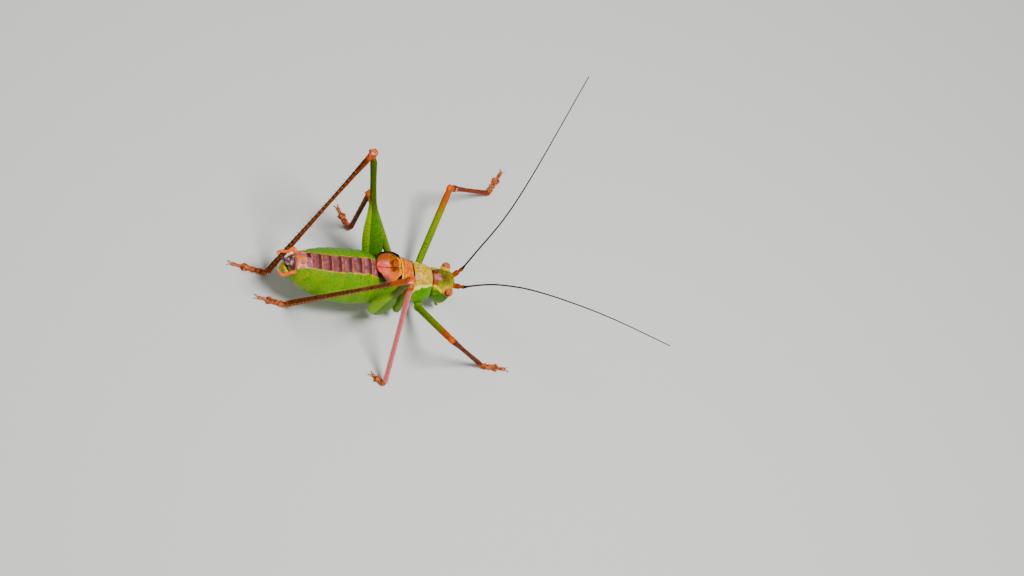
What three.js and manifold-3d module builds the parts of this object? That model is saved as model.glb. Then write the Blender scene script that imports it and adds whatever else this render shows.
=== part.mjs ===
// A male speckled bush-cricket, a small long-horned grasshopper, standing on its six feet.
//
// Millimetres, life size. +X points to the head, +Y to the insect's left and +Z up. The soles are flats
// at z = 0. While the body is being shaped, x = 0 is at the groove across the pronotum and y = 0 is the
// middle of the body; the finished insect is then moved so that the origin is under its middle.
//
// Trunk and head are lofts whose sections change from tail to head. Each leg is a coxa, a femur, a tibia
// and a tarsus, placed by the points of its hip, knee, ankle and toe. Where two pieces meet, one is cut
// back from the other by a thin gap.

import * as THREE from 'three';
import { mergeVertices } from 'three/addons/utils/BufferGeometryUtils.js';
import Module from 'manifold-3d';

const wasm = await Module();
wasm.setup();

// ---------------------------------------------------------------- driving dimensions

const GAP = 0.05;
const LEFT = 1;
const RIGHT = -1;
const SIDES = [['left', LEFT], ['right', RIGHT]];

// Places along the body.
const ABDOMEN_START = -2.35;
const ABDOMEN_END = -7.95;
const TAIL_END = -8.6;
const THORAX_FRONT = 1.42;
const PRONOTUM_REAR = -1.0;
const TEGMEN_REAR = -2.85;
const HEAD_REAR = 1.47;
const HEAD_FRONT = 3.42;
const TERGITES = 8;

// Heights of the back and the belly and half-widths, each as [place along the body, size]. The shield
// is the outside of the pronotum and the short wings behind it.
const BACK = [[-8.6, 5.42], [-8.0, 5.5], [-7.1, 5.49], [-4.7, 5.32], [-3.3, 5.26], [-2.35, 4.72]];
const BELLY = [[-8.6, 3.5], [-7.6, 2.74], [-6.05, 2.1], [-4.95, 1.68], [-3.75, 1.46], [-2.35, 1.42]];
const FLANK = [
  [-8.6, 0.66], [-8.0, 1.08], [-7.1, 1.47], [-6.05, 1.74], [-4.9, 1.84], [-3.7, 1.83], [-2.35, 1.55],
];
const THORAX_BACK = [[-2.3, 4.68], [-1.0, 4.46], [0, 4.16], [0.8, 4.02], [1.42, 3.86]];
const THORAX_BELLY = [[-2.3, 1.42], [-1.0, 1.38], [0.3, 1.42], [1.42, 1.75]];
const THORAX_FLANK = [[-2.3, 1.46], [-1.2, 1.26], [0, 1.08], [0.8, 0.99], [1.42, 0.86]];
const SHIELD_BACK = [
  [-2.85, 5.22], [-2.0, 5.38], [-1.3, 5.32], [-0.6, 5.02], [0, 4.64], [0.8, 4.42], [1.42, 4.22],
];
const SHIELD_BELLY = [[-2.85, 2.2], [0, 1.9], [1.42, 1.95]];
const SHIELD_FLANK = [[-2.85, 1.5], [-1.3, 1.5], [0, 1.4], [0.8, 1.3], [1.42, 1.14]];
const TEGMEN_BELLY = [[-2.85, 3.9], [0, 3.4]];
const TEGMEN_FLANK = [[-2.85, 1.1], [-2.2, 1.3], [-1.4, 1.42], [-0.5, 1.22]];
const TEGMEN_LOW = 4.25;
const WING_SEAM = { height: 5.1, slant: 30 };

// The side view of the pronotum's edge, from the back over the side lobe to the head, as [along, height].
const LOBE_EDGE = [[-1.0, 4.9], [-0.74, 3.7], [-0.35, 2.95], [0.2, 2.33], [0.75, 2.14], [1.42, 2.5]];
const LOBE_MIDDLE = [0.5, 4.2];
const LOBE_TOP = 6;
const HEAD_BACK = [[1.47, 4.2], [2.1, 4.04], [2.7, 3.93], [3.1, 3.86], [3.42, 3.72]];
const HEAD_BELLY = [[1.47, 2.15], [1.9, 1.55], [2.4, 1.3], [2.8, 1.42], [3.1, 1.9], [3.42, 2.6]];
const HEAD_FLANK = [[1.47, 1.02], [2.0, 1.18], [2.5, 1.17], [3.0, 0.98], [3.42, 0.62]];

// Eyes, feelers and mouth.
const EYE = { radius: 0.36, place: [2.61, 0.93, 3.58] };
const FEELER_RADIUS = 0.25;
const WHIP_STEPS = 8;
const FEELER_BASE = { from: [3.2, 0.44, 3.56], to: [3.6, 0.66, 3.92], radius: 0.25 };
const FEELER_LEFT = [
  [3.6, 0.66, 3.92], [3.85, 0.8, 7.0], [4.4, 1.25, 10.2], [5.15, 2.45, 13.6], [7.38, 6.8, 20.5],
];
const FEELER_RIGHT = [
  [3.6, -0.66, 3.92], [4.6, -1.42, 6.2], [6.3, -3.1, 9.3], [9.89, -6.1, 12.5], [13.6, -8.75, 14.0],
];
const MOUTH = {
  from: [2.55, 0, 1.62], to: [2.62, 0, 0.86], depth: [[0, 0.42], [1, 0.3]], across: [[0, 0.6], [1, 0.4]],
};
const PALP = { path: [[2.5, 0.36, 1.24], [2.72, 0.62, 0.95], [2.98, 0.66, 0.5]], radius: 0.19 };

// The tail: claspers and the plate under them.
const CERCUS = {
  radius: [[0, 0.2], [1, 0.15]],
  path: [[-8.05, 0.78, 4.95], [-8.7, 0.98, 4.98], [-9.3, 0.94, 4.9], [-9.58, 0.52, 5.02]],
};
const SUBGENITAL = {
  thickness: 0.5,
  width: [[0, 0.66], [0.5, 0.56], [1, 0.3]],
  path: [[-7.75, 0, 2.95], [-8.35, 0, 3.18], [-8.8, 0, 3.72], [-9.0, 0, 4.35]],
};

// The six legs. Hip, knee and ankle are the ends of the femur and the tibia; the tarsus lies on the
// floor from the ankle to the toe.
const LEGS = {
  fore_leg_left: {
    kind: 'fore', side: LEFT,
    hip: [1.0, 1.3, 1.75], knee: [2.85, 6.0, 5.2], ankle: [7.3, 8.15], toe: [8.59, 10.03],
  },
  fore_leg_right: {
    kind: 'fore', side: RIGHT,
    hip: [1.0, -1.3, 1.75], knee: [1.6, -5.45, 6.1], ankle: [5.53, -4.71], toe: [7.48, -4.86],
  },
  mid_leg_left: {
    kind: 'mid', side: LEFT,
    hip: [-0.5, 1.45, 1.75], knee: [-3.78, 3.9, 8.0], ankle: [-2.82, 4.97], toe: [-3.57, 6.65],
  },
  mid_leg_right: {
    kind: 'mid', side: RIGHT,
    hip: [-0.5, -1.45, 1.75], knee: [-1.58, -2.76, 8.3], ankle: [-1.32, -6.31], toe: [-2.15, -5.5],
  },
  hind_leg_left: {
    kind: 'hind', side: LEFT,
    hip: [-2.05, 1.75, 2.1], knee: [-5.5, 3.4, 14.9], ankle: [-8.87, 1.42], toe: [-11.4, 2.1],
  },
  hind_leg_right: {
    kind: 'hind', side: RIGHT,
    hip: [-2.05, -1.75, 2.1], knee: [-3.7, -5.3, 14.7], ankle: [-7.65, -0.86], toe: [-9.78, -0.26],
  },
};

// Half sizes along the femur from hip to knee: in the plane of the leg, and across it.
const SLIM_DEPTH = [[0, 0.28], [0.3, 0.32], [0.7, 0.27], [0.9, 0.26], [1, 0.28]];
const FEMUR = {
  fore: { depth: SLIM_DEPTH, across: [[0, 0.27], [0.5, 0.27], [1, 0.26]] },
  mid: { depth: SLIM_DEPTH, across: [[0, 0.27], [0.5, 0.27], [1, 0.26]] },
  hind: {
    depth: [
      [0, 0.46], [0.08, 0.7], [0.17, 0.76], [0.3, 0.67], [0.4, 0.5], [0.5, 0.32],
      [0.62, 0.26], [0.88, 0.26], [1, 0.32],
    ],
    across: [[0, 0.36], [0.1, 0.45], [0.2, 0.47], [0.32, 0.4], [0.5, 0.28], [0.7, 0.25], [1, 0.27]],
  },
};
// Radius along the tibia from knee to ankle. The fore tibia swells round its ears.
const TIBIA = {
  fore: [[0, 0.27], [0.09, 0.31], [0.2, 0.26], [0.9, 0.25], [1, 0.26]],
  mid: [[0, 0.28], [0.12, 0.26], [0.9, 0.25], [1, 0.26]],
  hind: [[0, 0.33], [0.05, 0.27], [0.9, 0.25], [1, 0.27]],
};
const COXA = { fore: 0.38, mid: 0.4, hind: 0.48, inset: 0.6, rise: 0.35 };
const TARSUS = {
  heel: 0.22,
  widest: 0.3,
  height: [[0, 0.42], [0.5, 0.4], [0.66, 0.38], [0.8, 0.3], [1, 0.24]],
  width: [
    [0, 0.2], [0.3, 0.23], [0.45, 0.22], [0.6, 0.33], [0.68, 0.31], [0.76, 0.2], [0.92, 0.19], [1, 0.25],
  ],
};
const ANKLE_HEIGHT = 0.42;
const KNEE_CLEARANCE = 0.35;

// ---------------------------------------------------------------- shaping

// A smooth line through [place, value] pairs, read at any place.
function through(pairs) {
  const spline = new THREE.CubicInterpolant(pairs.map((pair) => pair[0]), pairs.map((pair) => pair[1]), 1);
  return (place) => spline.evaluate(place)[0];
}

// A closed solid along a line. section(t), for t from 0 to 1, gives the middle of the section, its two
// directions and outline(angle), the place on its rim; (along x side) points to up.
function loft(section, steps, sides, ease = (t) => t) {
  const geometry = new THREE.CylinderGeometry(1, 1, 1, sides, steps);
  const position = geometry.attributes.position;
  for (let i = 0; i < position.count; i += 1) {
    const x = position.getX(i);
    const z = position.getZ(i);
    const { middle, side, up, outline } = section(ease(0.5 - position.getY(i)));
    const [across, high] = outline(Math.atan2(z, x));
    const reach = Math.min(1, Math.hypot(x, z));
    const point = middle.clone().addScaledVector(side, across * reach).addScaledVector(up, high * reach);
    position.setXYZ(i, point.x, point.y, point.z);
  }
  return geometry;
}

// Steps crowd towards both ends, where a limb rounds off.
const crowdEnds = (t) => (1 - Math.cos(Math.PI * t)) / 2;

// How much of its full size a rounded end has at a distance from that end.
function rounding(distance, round, least) {
  const inside = 1 - Math.min(1, Math.max(0, distance / round));
  return Math.max(least, Math.sqrt(1 - inside * inside));
}

const signedPower = (value, power) => Math.sign(value) * Math.abs(value) ** power;

// A stretch of trunk or head between two places. lean makes it narrower towards the back, square is the
// power of the rim (1 is an ellipse, less is boxier), and grow makes the whole a little larger.
function trunk({ from, to, back, belly, flank, lean = 0, square = 1, swell = () => 1, rear = 0, front = 0,
  steps, sides, ease, grow = 0 }) {
  const high = through(back);
  const low = through(belly);
  const wide = through(flank);
  const section = (t) => {
    const x = THREE.MathUtils.lerp(from - grow, to + grow, t);
    const end = Math.min(
      rear ? rounding(x - from + grow, rear, 0.35) : 1,
      front ? rounding(to + grow - x, front, 0.35) : 1,
    );
    const half = ((high(x) - low(x)) / 2) * end * swell(x) + grow;
    const width = wide(x) * end * swell(x) + grow;
    return {
      middle: new THREE.Vector3(x, 0, (high(x) + low(x)) / 2),
      side: new THREE.Vector3(0, 1, 0),
      up: UPWARDS,
      outline: (angle) => [
        width * signedPower(Math.cos(angle), square) * (1 - lean * Math.sin(angle)),
        half * signedPower(Math.sin(angle), square),
      ],
    };
  };
  return loft(section, steps, sides, ease);
}

// A limb along a curve. depth(t) is its half size towards facing, and across(t) its half size sideways.
function limb({ curve, facing, depth, across, steps, sides, end = 0.6, grow = 0 }) {
  const length = curve.getLength();
  const section = (t) => {
    const along = curve.getTangentAt(t);
    const up = facing.clone().addScaledVector(along, -facing.dot(along)).normalize();
    const near = Math.min(t, 1 - t) * length;
    const size = Math.min(1, end + (1 - end) * (near / depth(t)));
    return {
      middle: curve.getPointAt(t).addScaledVector(along, (t < 0.5 ? -grow : grow) * (near < 1e-6 ? 1 : 0)),
      side: up.clone().cross(along),
      up,
      outline: (angle) => [
        (across(t) * size + grow) * Math.cos(angle),
        (depth(t) * size + grow) * Math.sin(angle),
      ],
    };
  };
  return loft(section, steps, sides, crowdEnds);
}

const UPWARDS = new THREE.Vector3(0, 0, 1);
const vector = (place) => new THREE.Vector3(...place);
const mirrored = ([x, y, z], side) => vector([x, y * side, z]);
const curveThrough = (places) => new THREE.CatmullRomCurve3(places.map(vector));

// ---------------------------------------------------------------- cutting and joining

function toManifold(geometry) {
  const bare = geometry.clone();
  bare.deleteAttribute('normal');
  bare.deleteAttribute('uv');
  const welded = mergeVertices(bare, 1e-4);
  return new wasm.Manifold(new wasm.Mesh({
    numProp: 3,
    vertProperties: new Float32Array(welded.attributes.position.array),
    triVerts: new Uint32Array(welded.index.array),
  }));
}

function toGeometry(manifold) {
  const mesh = manifold.getMesh();
  const geometry = new THREE.BufferGeometry();
  geometry.setAttribute('position', new THREE.BufferAttribute(mesh.vertProperties, 3));
  geometry.setIndex(new THREE.BufferAttribute(mesh.triVerts, 1));
  geometry.computeVertexNormals();
  return geometry;
}

// A geometry with others taken out of it.
function cut(geometry, ...tools) {
  const result = tools.reduce((left, tool) => left.subtract(toManifold(tool)), toManifold(geometry));
  return toGeometry(result);
}

function keep(geometry, mask) {
  return toGeometry(toManifold(geometry).intersect(toManifold(mask)));
}

// ---------------------------------------------------------------- colours

const insect = new THREE.Group();

function add(name, geometry, color, roughness = 0.5) {
  const mesh = new THREE.Mesh(geometry, new THREE.MeshStandardMaterial({ color, roughness, metalness: 0 }));
  mesh.name = name;
  insect.add(mesh);
}

const GREEN = 0x5d9a12;
const LEG_GREEN = 0x6f8a1e;
const ORANGE = 0xc8561a;
const RUST = 0x8e3a18;
const CORAL = 0xe0673a;
const STRIPE = 0x6d4152;
const YELLOW_GREEN = 0xb7c53a;
const DARK_BROWN = 0x2e1210;
const EYE_PINK = 0xc9795a;

// ---------------------------------------------------------------- trunk

// Each ring of the abdomen is a little fuller in the middle than at its seams.
const ringLength = (ABDOMEN_START - ABDOMEN_END) / TERGITES;
const ringTurn = (x) => (Math.PI * (x - ABDOMEN_START)) / ringLength;
const ringSwell = (x) => 0.99 + 0.016 * Math.abs(Math.sin(ringTurn(x)));

const abdomen = (grow = 0) => trunk({
  from: ABDOMEN_END, to: ABDOMEN_START, back: BACK, belly: BELLY, flank: FLANK,
  lean: 0.05, swell: ringSwell, steps: TERGITES * 3, sides: 16, grow,
});
const tail = (grow = 0) => trunk({
  from: TAIL_END, to: ABDOMEN_END - GAP, back: BACK, belly: BELLY, flank: FLANK,
  lean: 0.05, rear: 0.35, steps: 4, sides: 16, grow,
});
const thorax = (grow = 0) => trunk({
  from: ABDOMEN_START + GAP, to: THORAX_FRONT, back: THORAX_BACK, belly: THORAX_BELLY, flank: THORAX_FLANK,
  lean: 0.12, steps: 7, sides: 16, grow,
});
const shield = (from, to, grow = 0) => trunk({
  from, to, back: SHIELD_BACK, belly: SHIELD_BELLY, flank: SHIELD_FLANK,
  lean: 0.22, square: 0.9, steps: 8, sides: 18, grow,
});

// The side view of the pronotum: a saddle with a rounded lobe down each side.
function lobePrism(grow = 0) {
  const middle = new THREE.Vector2(...LOBE_MIDDLE);
  const edge = LOBE_EDGE.map((place) => {
    const point = new THREE.Vector2(...place);
    return point.addScaledVector(point.clone().sub(middle).normalize(), grow);
  });
  const outline = new THREE.Shape();
  outline.moveTo(edge[0].x, LOBE_TOP);
  outline.lineTo(edge[0].x, edge[0].y);
  outline.splineThru(edge.slice(1));
  outline.lineTo(edge.at(-1).x, LOBE_TOP);
  const prism = new THREE.ExtrudeGeometry(outline, { depth: 6, bevelEnabled: false, curveSegments: 4 });
  return prism.rotateX(Math.PI / 2).translate(0, 3, 0);
}

const pronotumSolid = (grow = 0) => keep(shield(PRONOTUM_REAR - 0.2, THORAX_FRONT, grow), lobePrism(grow));

add('abdomen', abdomen(), GREEN, 0.45);
add('tail_tergite', tail(), STRIPE, 0.35);
add('thorax', thorax(), GREEN, 0.5);
add('pronotum', cut(pronotumSolid(), thorax(GAP)), ORANGE, 0.45);

// The two short fore wings are flaps over the thorax behind the pronotum; the left lies on the right,
// so they part along a slanted plane.
function wingHalf(side) {
  const below = new THREE.BoxGeometry(9, 6, 4).translate(0, 0, TEGMEN_LOW - 2);
  const flap = cut(
    trunk({
      from: TEGMEN_REAR, to: PRONOTUM_REAR - GAP,
      back: SHIELD_BACK, belly: TEGMEN_BELLY, flank: TEGMEN_FLANK,
      lean: 0.05, rear: 0.5, steps: 8, sides: 18, ease: (t) => t ** 1.3,
    }),
    below, thorax(GAP), abdomen(GAP),
  );
  const half = new THREE.BoxGeometry(9, 4, 8).translate(0, side * (2 + GAP / 2), 0);
  half.rotateX(THREE.MathUtils.degToRad(WING_SEAM.slant)).translate(0, 0, WING_SEAM.height);
  return keep(flap, half);
}
for (const [name, side] of SIDES) add(`tegmen_${name}`, wingHalf(side), ORANGE, 0.4);

// ---------------------------------------------------------------- head

const round = (radius) => () => radius;
const same = (size) => ({ depth: size, across: size });

function eye(side, grow = 0) {
  const ball = new THREE.SphereGeometry(EYE.radius + grow, 12, 8);
  return ball.translate(...mirrored(EYE.place, side).toArray());
}

function feelerBase(side, grow = 0) {
  const from = mirrored(FEELER_BASE.from, side);
  const to = mirrored(FEELER_BASE.to, side);
  return limb({
    curve: new THREE.LineCurve3(from, to), facing: UPWARDS, ...same(round(FEELER_BASE.radius)),
    steps: 3, sides: 10, end: 0.8, grow,
  });
}

// The mouth: upper lip and jaws in one piece under the face.
const mouthparts = (grow = 0) => limb({
  curve: new THREE.LineCurve3(vector(MOUTH.from), vector(MOUTH.to)), facing: new THREE.Vector3(1, 0, 0),
  depth: through(MOUTH.depth), across: through(MOUTH.across), steps: 3, sides: 12, end: 0.7, grow,
});

const head = (grow = 0) => trunk({
  from: HEAD_REAR, to: HEAD_FRONT, back: HEAD_BACK, belly: HEAD_BELLY, flank: HEAD_FLANK,
  lean: 0.2, front: 0.55, steps: 10, sides: 20, ease: (t) => 1 - (1 - t) ** 1.5, grow,
});

const sockets = [LEFT, RIGHT].flatMap((side) => [eye(side, GAP), feelerBase(side, GAP)]);
add('head', cut(head(), ...sockets), GREEN, 0.4);
add('mouthparts', cut(mouthparts(), head(GAP)), YELLOW_GREEN, 0.45);

// A palp, a short bent feeler beside the mouth.
function palp(side) {
  const curve = curveThrough(PALP.path.map((place) => mirrored(place, side).toArray()));
  const feeler = limb({
    curve, facing: new THREE.Vector3(0, side, 1), ...same(round(PALP.radius)), steps: 5, sides: 8,
  });
  return cut(feeler, head(GAP), mouthparts(GAP));
}

// A feeler's whip, in two lengths.
function whip(places, from, to) {
  const curve = curveThrough(places);
  const length = curve.getLength();
  const start = from + (from > 0 ? GAP / 2 / length : 0);
  const points = Array.from({ length: WHIP_STEPS + 1 }, (unused, i) => (
    curve.getPointAt(THREE.MathUtils.lerp(start, to, i / WHIP_STEPS))
  ));
  const stretch = new THREE.CatmullRomCurve3(points);
  return limb({
    curve: stretch, facing: new THREE.Vector3(1, 0, 0.4), ...same(round(FEELER_RADIUS)),
    steps: WHIP_STEPS, sides: 8, end: 0.8,
  });
}

for (const [name, side] of SIDES) {
  const places = side === LEFT ? FEELER_LEFT : FEELER_RIGHT;
  add(`eye_${name}`, eye(side), EYE_PINK, 0.2);
  add(`antenna_${name}_base`, cut(feelerBase(side), eye(side, GAP)), ORANGE, 0.45);
  add(`antenna_${name}_lower`, cut(whip(places, 0, 0.5), feelerBase(side, GAP)), DARK_BROWN, 0.5);
  add(`antenna_${name}_upper`, whip(places, 0.5, 1), DARK_BROWN, 0.5);
  add(`palp_${name}`, palp(side), YELLOW_GREEN, 0.45);
}

// ---------------------------------------------------------------- tail

function cercus(side) {
  const curve = curveThrough(CERCUS.path.map((place) => mirrored(place, side).toArray()));
  return limb({ curve, facing: UPWARDS, ...same(through(CERCUS.radius)), steps: 9, sides: 8 });
}

function subgenitalPlate() {
  const plate = limb({
    curve: curveThrough(SUBGENITAL.path), facing: new THREE.Vector3(-1, 0, -1),
    depth: round(SUBGENITAL.thickness / 2), across: through(SUBGENITAL.width),
    steps: 8, sides: 12,
  });
  return cut(plate, abdomen(GAP), tail(GAP));
}

add('subgenital_plate', subgenitalPlate(), YELLOW_GREEN, 0.4);
for (const [name, side] of SIDES) {
  add(`cercus_${name}`, cut(cercus(side), tail(GAP), abdomen(GAP)), CORAL, 0.35);
}

// ---------------------------------------------------------------- legs

const straight = (from, to) => new THREE.LineCurve3(from, to);

// The directions of a leg: facing points to the outside of the bend at the knee.
function legPlan({ hip, knee, ankle, toe }) {
  const points = { hip: vector(hip), knee: vector(knee), ankle: vector([...ankle, ANKLE_HEIGHT]) };
  const thigh = points.knee.clone().sub(points.hip).normalize();
  const shin = points.ankle.clone().sub(points.knee).normalize();
  return {
    ...points,
    shin,
    sole: [vector([...ankle, 0]), vector([...toe, 0])],
    facing: thigh.clone().sub(shin).normalize(),
  };
}

function femur(plan, kind, grow = 0) {
  return limb({
    curve: straight(plan.hip, plan.knee), facing: plan.facing,
    depth: through(FEMUR[kind].depth), across: through(FEMUR[kind].across),
    steps: kind === 'hind' ? 13 : 6, sides: kind === 'hind' ? 12 : 8, grow,
  });
}

// above lengthens it past the knee, for a tool that clears the whole end of the femur.
function tibia(plan, kind, grow = 0, above = 0) {
  const top = plan.knee.clone().addScaledVector(plan.shin, -above);
  return limb({
    curve: straight(top, plan.ankle), facing: plan.facing, ...same(through(TIBIA[kind])),
    steps: 7, sides: 8, end: above ? 1 : 0.75, grow,
  });
}

// A tarsus is an arch over a flat sole. Its lobed third joint is the broadest, and each section is at its
// fullest at the part of its height named widest.
function tarsus(plan, grow = 0) {
  const [ankle, toe] = plan.sole;
  const along = toe.clone().sub(ankle).normalize();
  const start = ankle.clone().addScaledVector(along, -TARSUS.heel - grow);
  const end = toe.clone().addScaledVector(along, grow);
  const side = UPWARDS.clone().cross(along);
  const tall = through(TARSUS.height);
  const wide = through(TARSUS.width);
  const section = (t) => ({
    middle: start.clone().lerp(end, t).setZ(tall(t) * TARSUS.widest),
    side,
    up: UPWARDS,
    outline: (angle) => [
      (wide(t) + grow) * Math.cos(angle),
      Math.sin(angle) > 0
        ? (tall(t) * (1 - TARSUS.widest) + grow) * Math.sin(angle)
        : -tall(t) * TARSUS.widest - grow,
    ],
  });
  return loft(section, 9, 8);
}

// A coxa is the short stout joint between the thorax and the femur.
function coxa(plan, kind, side) {
  const inner = plan.hip.clone().add(new THREE.Vector3(0, -side * COXA.inset, COXA.rise));
  const stub = limb({
    curve: straight(inner, plan.hip), facing: new THREE.Vector3(1, 0, 0), ...same(round(COXA[kind])),
    steps: 3, sides: 10,
  });
  return cut(stub, femur(plan, kind, GAP), thorax(GAP), abdomen(GAP), pronotumSolid(GAP));
}

for (const [name, leg] of Object.entries(LEGS)) {
  const plan = legPlan(leg);
  const kneeTool = tibia(plan, leg.kind, GAP, KNEE_CLEARANCE);
  const thigh = cut(femur(plan, leg.kind), kneeTool, thorax(GAP), abdomen(GAP), pronotumSolid(GAP));
  const shin = cut(tibia(plan, leg.kind), tarsus(plan, GAP));
  const hind = leg.kind === 'hind';
  add(`${name}_coxa`, coxa(plan, leg.kind, leg.side), GREEN, 0.5);
  add(`${name}_femur`, thigh, hind ? GREEN : LEG_GREEN, 0.45);
  add(`${name}_tibia`, shin, hind ? RUST : ORANGE, 0.45);
  add(`${name}_tarsus`, tarsus(plan), ORANGE, 0.4);
}

// ---------------------------------------------------------------- place

const bounds = new THREE.Box3().setFromObject(insect);
const centre = bounds.getCenter(new THREE.Vector3());
insect.position.set(-centre.x, -centre.y, 0);

const group = new THREE.Group();
group.add(insect);

export default group;
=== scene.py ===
# %% [markdown]
# # A male speckled bush-cricket
#
# This small long-horned grasshopper stands life size on its six feet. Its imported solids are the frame:
# the places of the body, limbs and plates are measured on them. The finished insect has one skin object
# for its trunk, head and legs, and separate plates, short wings, eyes, feelers, claspers and claws.
#
# Shapes are worked out in millimetres in the insect's own axes: x = 0 at the groove across the shield of
# the thorax, y = 0 in the middle of the body, z = 0 on the floor. A mesh is moved to its place in metres
# at the very end of its making.

# %% Load the frame
import functools
import math

import bmesh
import bpy
import numpy as np
from mathutils import Matrix, Vector
from mathutils.bvhtree import BVHTree


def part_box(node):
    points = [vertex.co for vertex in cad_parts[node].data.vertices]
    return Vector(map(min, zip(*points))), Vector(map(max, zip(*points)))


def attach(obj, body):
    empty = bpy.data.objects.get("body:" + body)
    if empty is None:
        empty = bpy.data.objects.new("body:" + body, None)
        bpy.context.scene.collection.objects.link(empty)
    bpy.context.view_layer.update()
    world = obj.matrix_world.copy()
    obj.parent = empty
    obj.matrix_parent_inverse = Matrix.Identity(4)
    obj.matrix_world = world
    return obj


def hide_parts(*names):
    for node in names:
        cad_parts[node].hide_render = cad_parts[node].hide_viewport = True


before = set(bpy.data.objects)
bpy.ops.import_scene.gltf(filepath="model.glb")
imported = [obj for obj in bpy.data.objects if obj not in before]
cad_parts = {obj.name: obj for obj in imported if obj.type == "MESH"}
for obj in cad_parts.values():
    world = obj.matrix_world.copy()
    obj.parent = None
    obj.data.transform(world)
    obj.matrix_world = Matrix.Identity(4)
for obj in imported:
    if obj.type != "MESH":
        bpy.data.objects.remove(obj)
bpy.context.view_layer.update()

MM = 0.001
SIDES = {"left": 1, "right": -1}
UP = np.array([0, 0, 1.0])

# %% The insect's own axes
GROOVE_SHARE = 0.413
shield_low, shield_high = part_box("pronotum")
thorax_low, thorax_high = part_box("thorax")
ORIGIN = np.array([
    shield_low.x + GROOVE_SHARE * (shield_high.x - shield_low.x),
    (thorax_low.y + thorax_high.y) / 2,
    0,
])


@functools.lru_cache(maxsize=None)
def corners_of(node):
    """The corners of a solid's triangles in mm, as an array of shape (triangles, 3, 3)."""
    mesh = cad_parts[node].data
    mesh.calc_loop_triangles()
    points = np.array([vertex.co for vertex in mesh.vertices])
    order = np.array([triangle.vertices for triangle in mesh.loop_triangles])
    return ((points - ORIGIN) / MM)[order]


def box_of(*nodes):
    """The lowest and highest corners of some solids together, in mm."""
    corners = np.concatenate([corners_of(node).reshape(-1, 3) for node in nodes])
    return corners.min(axis=0), corners.max(axis=0)


TAIL_X = box_of("tail_tergite")[0][0]
NECK_X = box_of("thorax")[1][0]
print("tail at", round(TAIL_X, 2), "neck at", round(NECK_X, 2), "mm")


# %% [markdown]
# The large soft forms are measured, not typed in. Rays go out from the middle of a solid to its
# surface, and the distances make a net that is then smoothed, so the facets of the solid disappear while
# its outline stays. Limbs are sliced across their length, which gives their middle line and thickness.

# %% Measuring the solids
CUT_OFFSET = 1e-7
LIMB_REACH = 0.8
MOST_STEPS = 400


def unit(vector):
    """A vector of length 1."""
    vector = np.asarray(vector, float)
    return vector / np.linalg.norm(vector)


def tree_of(*nodes, hull=False):
    """A search tree of some solids, or of the smallest convex shape round them."""
    corners = np.concatenate([corners_of(node) for node in nodes])
    if not hull:
        faces = np.arange(len(corners) * 3).reshape(-1, 3)
        return BVHTree.FromPolygons(corners.reshape(-1, 3).tolist(), faces.tolist())
    mesh = bmesh.new()
    for point in np.unique(corners.reshape(-1, 3).round(4), axis=0):
        mesh.verts.new(point)
    bmesh.ops.convex_hull(mesh, input=mesh.verts)
    tree = BVHTree.FromBMesh(mesh)
    mesh.free()
    return tree


def reach(tree, start, direction):
    """How far it is from a place to a surface, or nan if nothing is hit."""
    distance = tree.ray_cast(Vector(start), Vector(direction))[3]
    return math.nan if distance is None else distance


def soften(values, rows, columns):
    """Smooths a net of values along its rows, and round its closed columns; both widths are in steps."""
    for width, axis, mode in ((rows, 0, "edge"), (columns, 1, "wrap")):
        if not width:
            continue
        span = int(width * 3)
        weights = np.exp(-0.5 * (np.arange(-span, span + 1) / width) ** 2)
        pad = [(span, span) if side == axis else (0, 0) for side in (0, 1)]
        padded = np.pad(values, pad, mode=mode)
        shares = weights / weights.sum()
        values = np.apply_along_axis(lambda line: np.convolve(line, shares, "valid"), axis, padded)
    return values


def cut_rim(corners, height):
    """The places where triangles' edges pass height 0, from the heights of their corners."""
    rim = [np.zeros((0, 3))]
    for a, b in ((0, 1), (1, 2), (2, 0)):
        crossing = height[:, a] * height[:, b] < 0
        part = (height[crossing, a] / (height[crossing, a] - height[crossing, b]))[:, None]
        rim.append(corners[crossing, a] * (1 - part) + corners[crossing, b] * part)
    return np.concatenate(rim)


def slices(node, root, tip, count):
    """Cuts a solid across the line from root to tip; returns each cut's share of it, middle and rim."""
    root, tip = np.asarray(root, float), np.asarray(tip, float)
    corners = corners_of(node)
    along = (corners - root) @ (tip - root) / np.dot(tip - root, tip - root)
    cuts = []
    for share in np.linspace(0, 1, count):
        rim = cut_rim(corners, along - share - CUT_OFFSET)
        if len(rim) > 2:
            cuts.append((share, (rim.min(axis=0) + rim.max(axis=0)) / 2, rim))
    return cuts


def long_line(node, start):
    """The ends of the straight line through a long solid, beginning with the end nearer to start."""
    points = corners_of(node).reshape(-1, 3)
    middle = (points.min(axis=0) + points.max(axis=0)) / 2
    values, vectors = np.linalg.eigh(np.cov(points.T))
    axis = vectors[:, values.argmax()]
    axis = axis * np.sign((middle - start) @ axis)
    for _ in range(2):
        along = (points - middle) @ axis
        ends = middle + axis * along.min(), middle + axis * along.max()
        core = [cut[1] for cut in slices(node, *ends, 21)[5:16]]
        middle = np.mean(core, axis=0)
        axis = unit(core[-1] - core[0])
    along = (points - middle) @ axis
    return middle + axis * along.min(), middle + axis * along.max()


def limb_axes(root, tip, facing):
    """Directions along a limb, out of the bend of its knee, and across it."""
    along = unit(np.subtract(tip, root))
    outward = unit(facing - along * (facing @ along))
    return along, outward, np.cross(outward, along)


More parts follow.
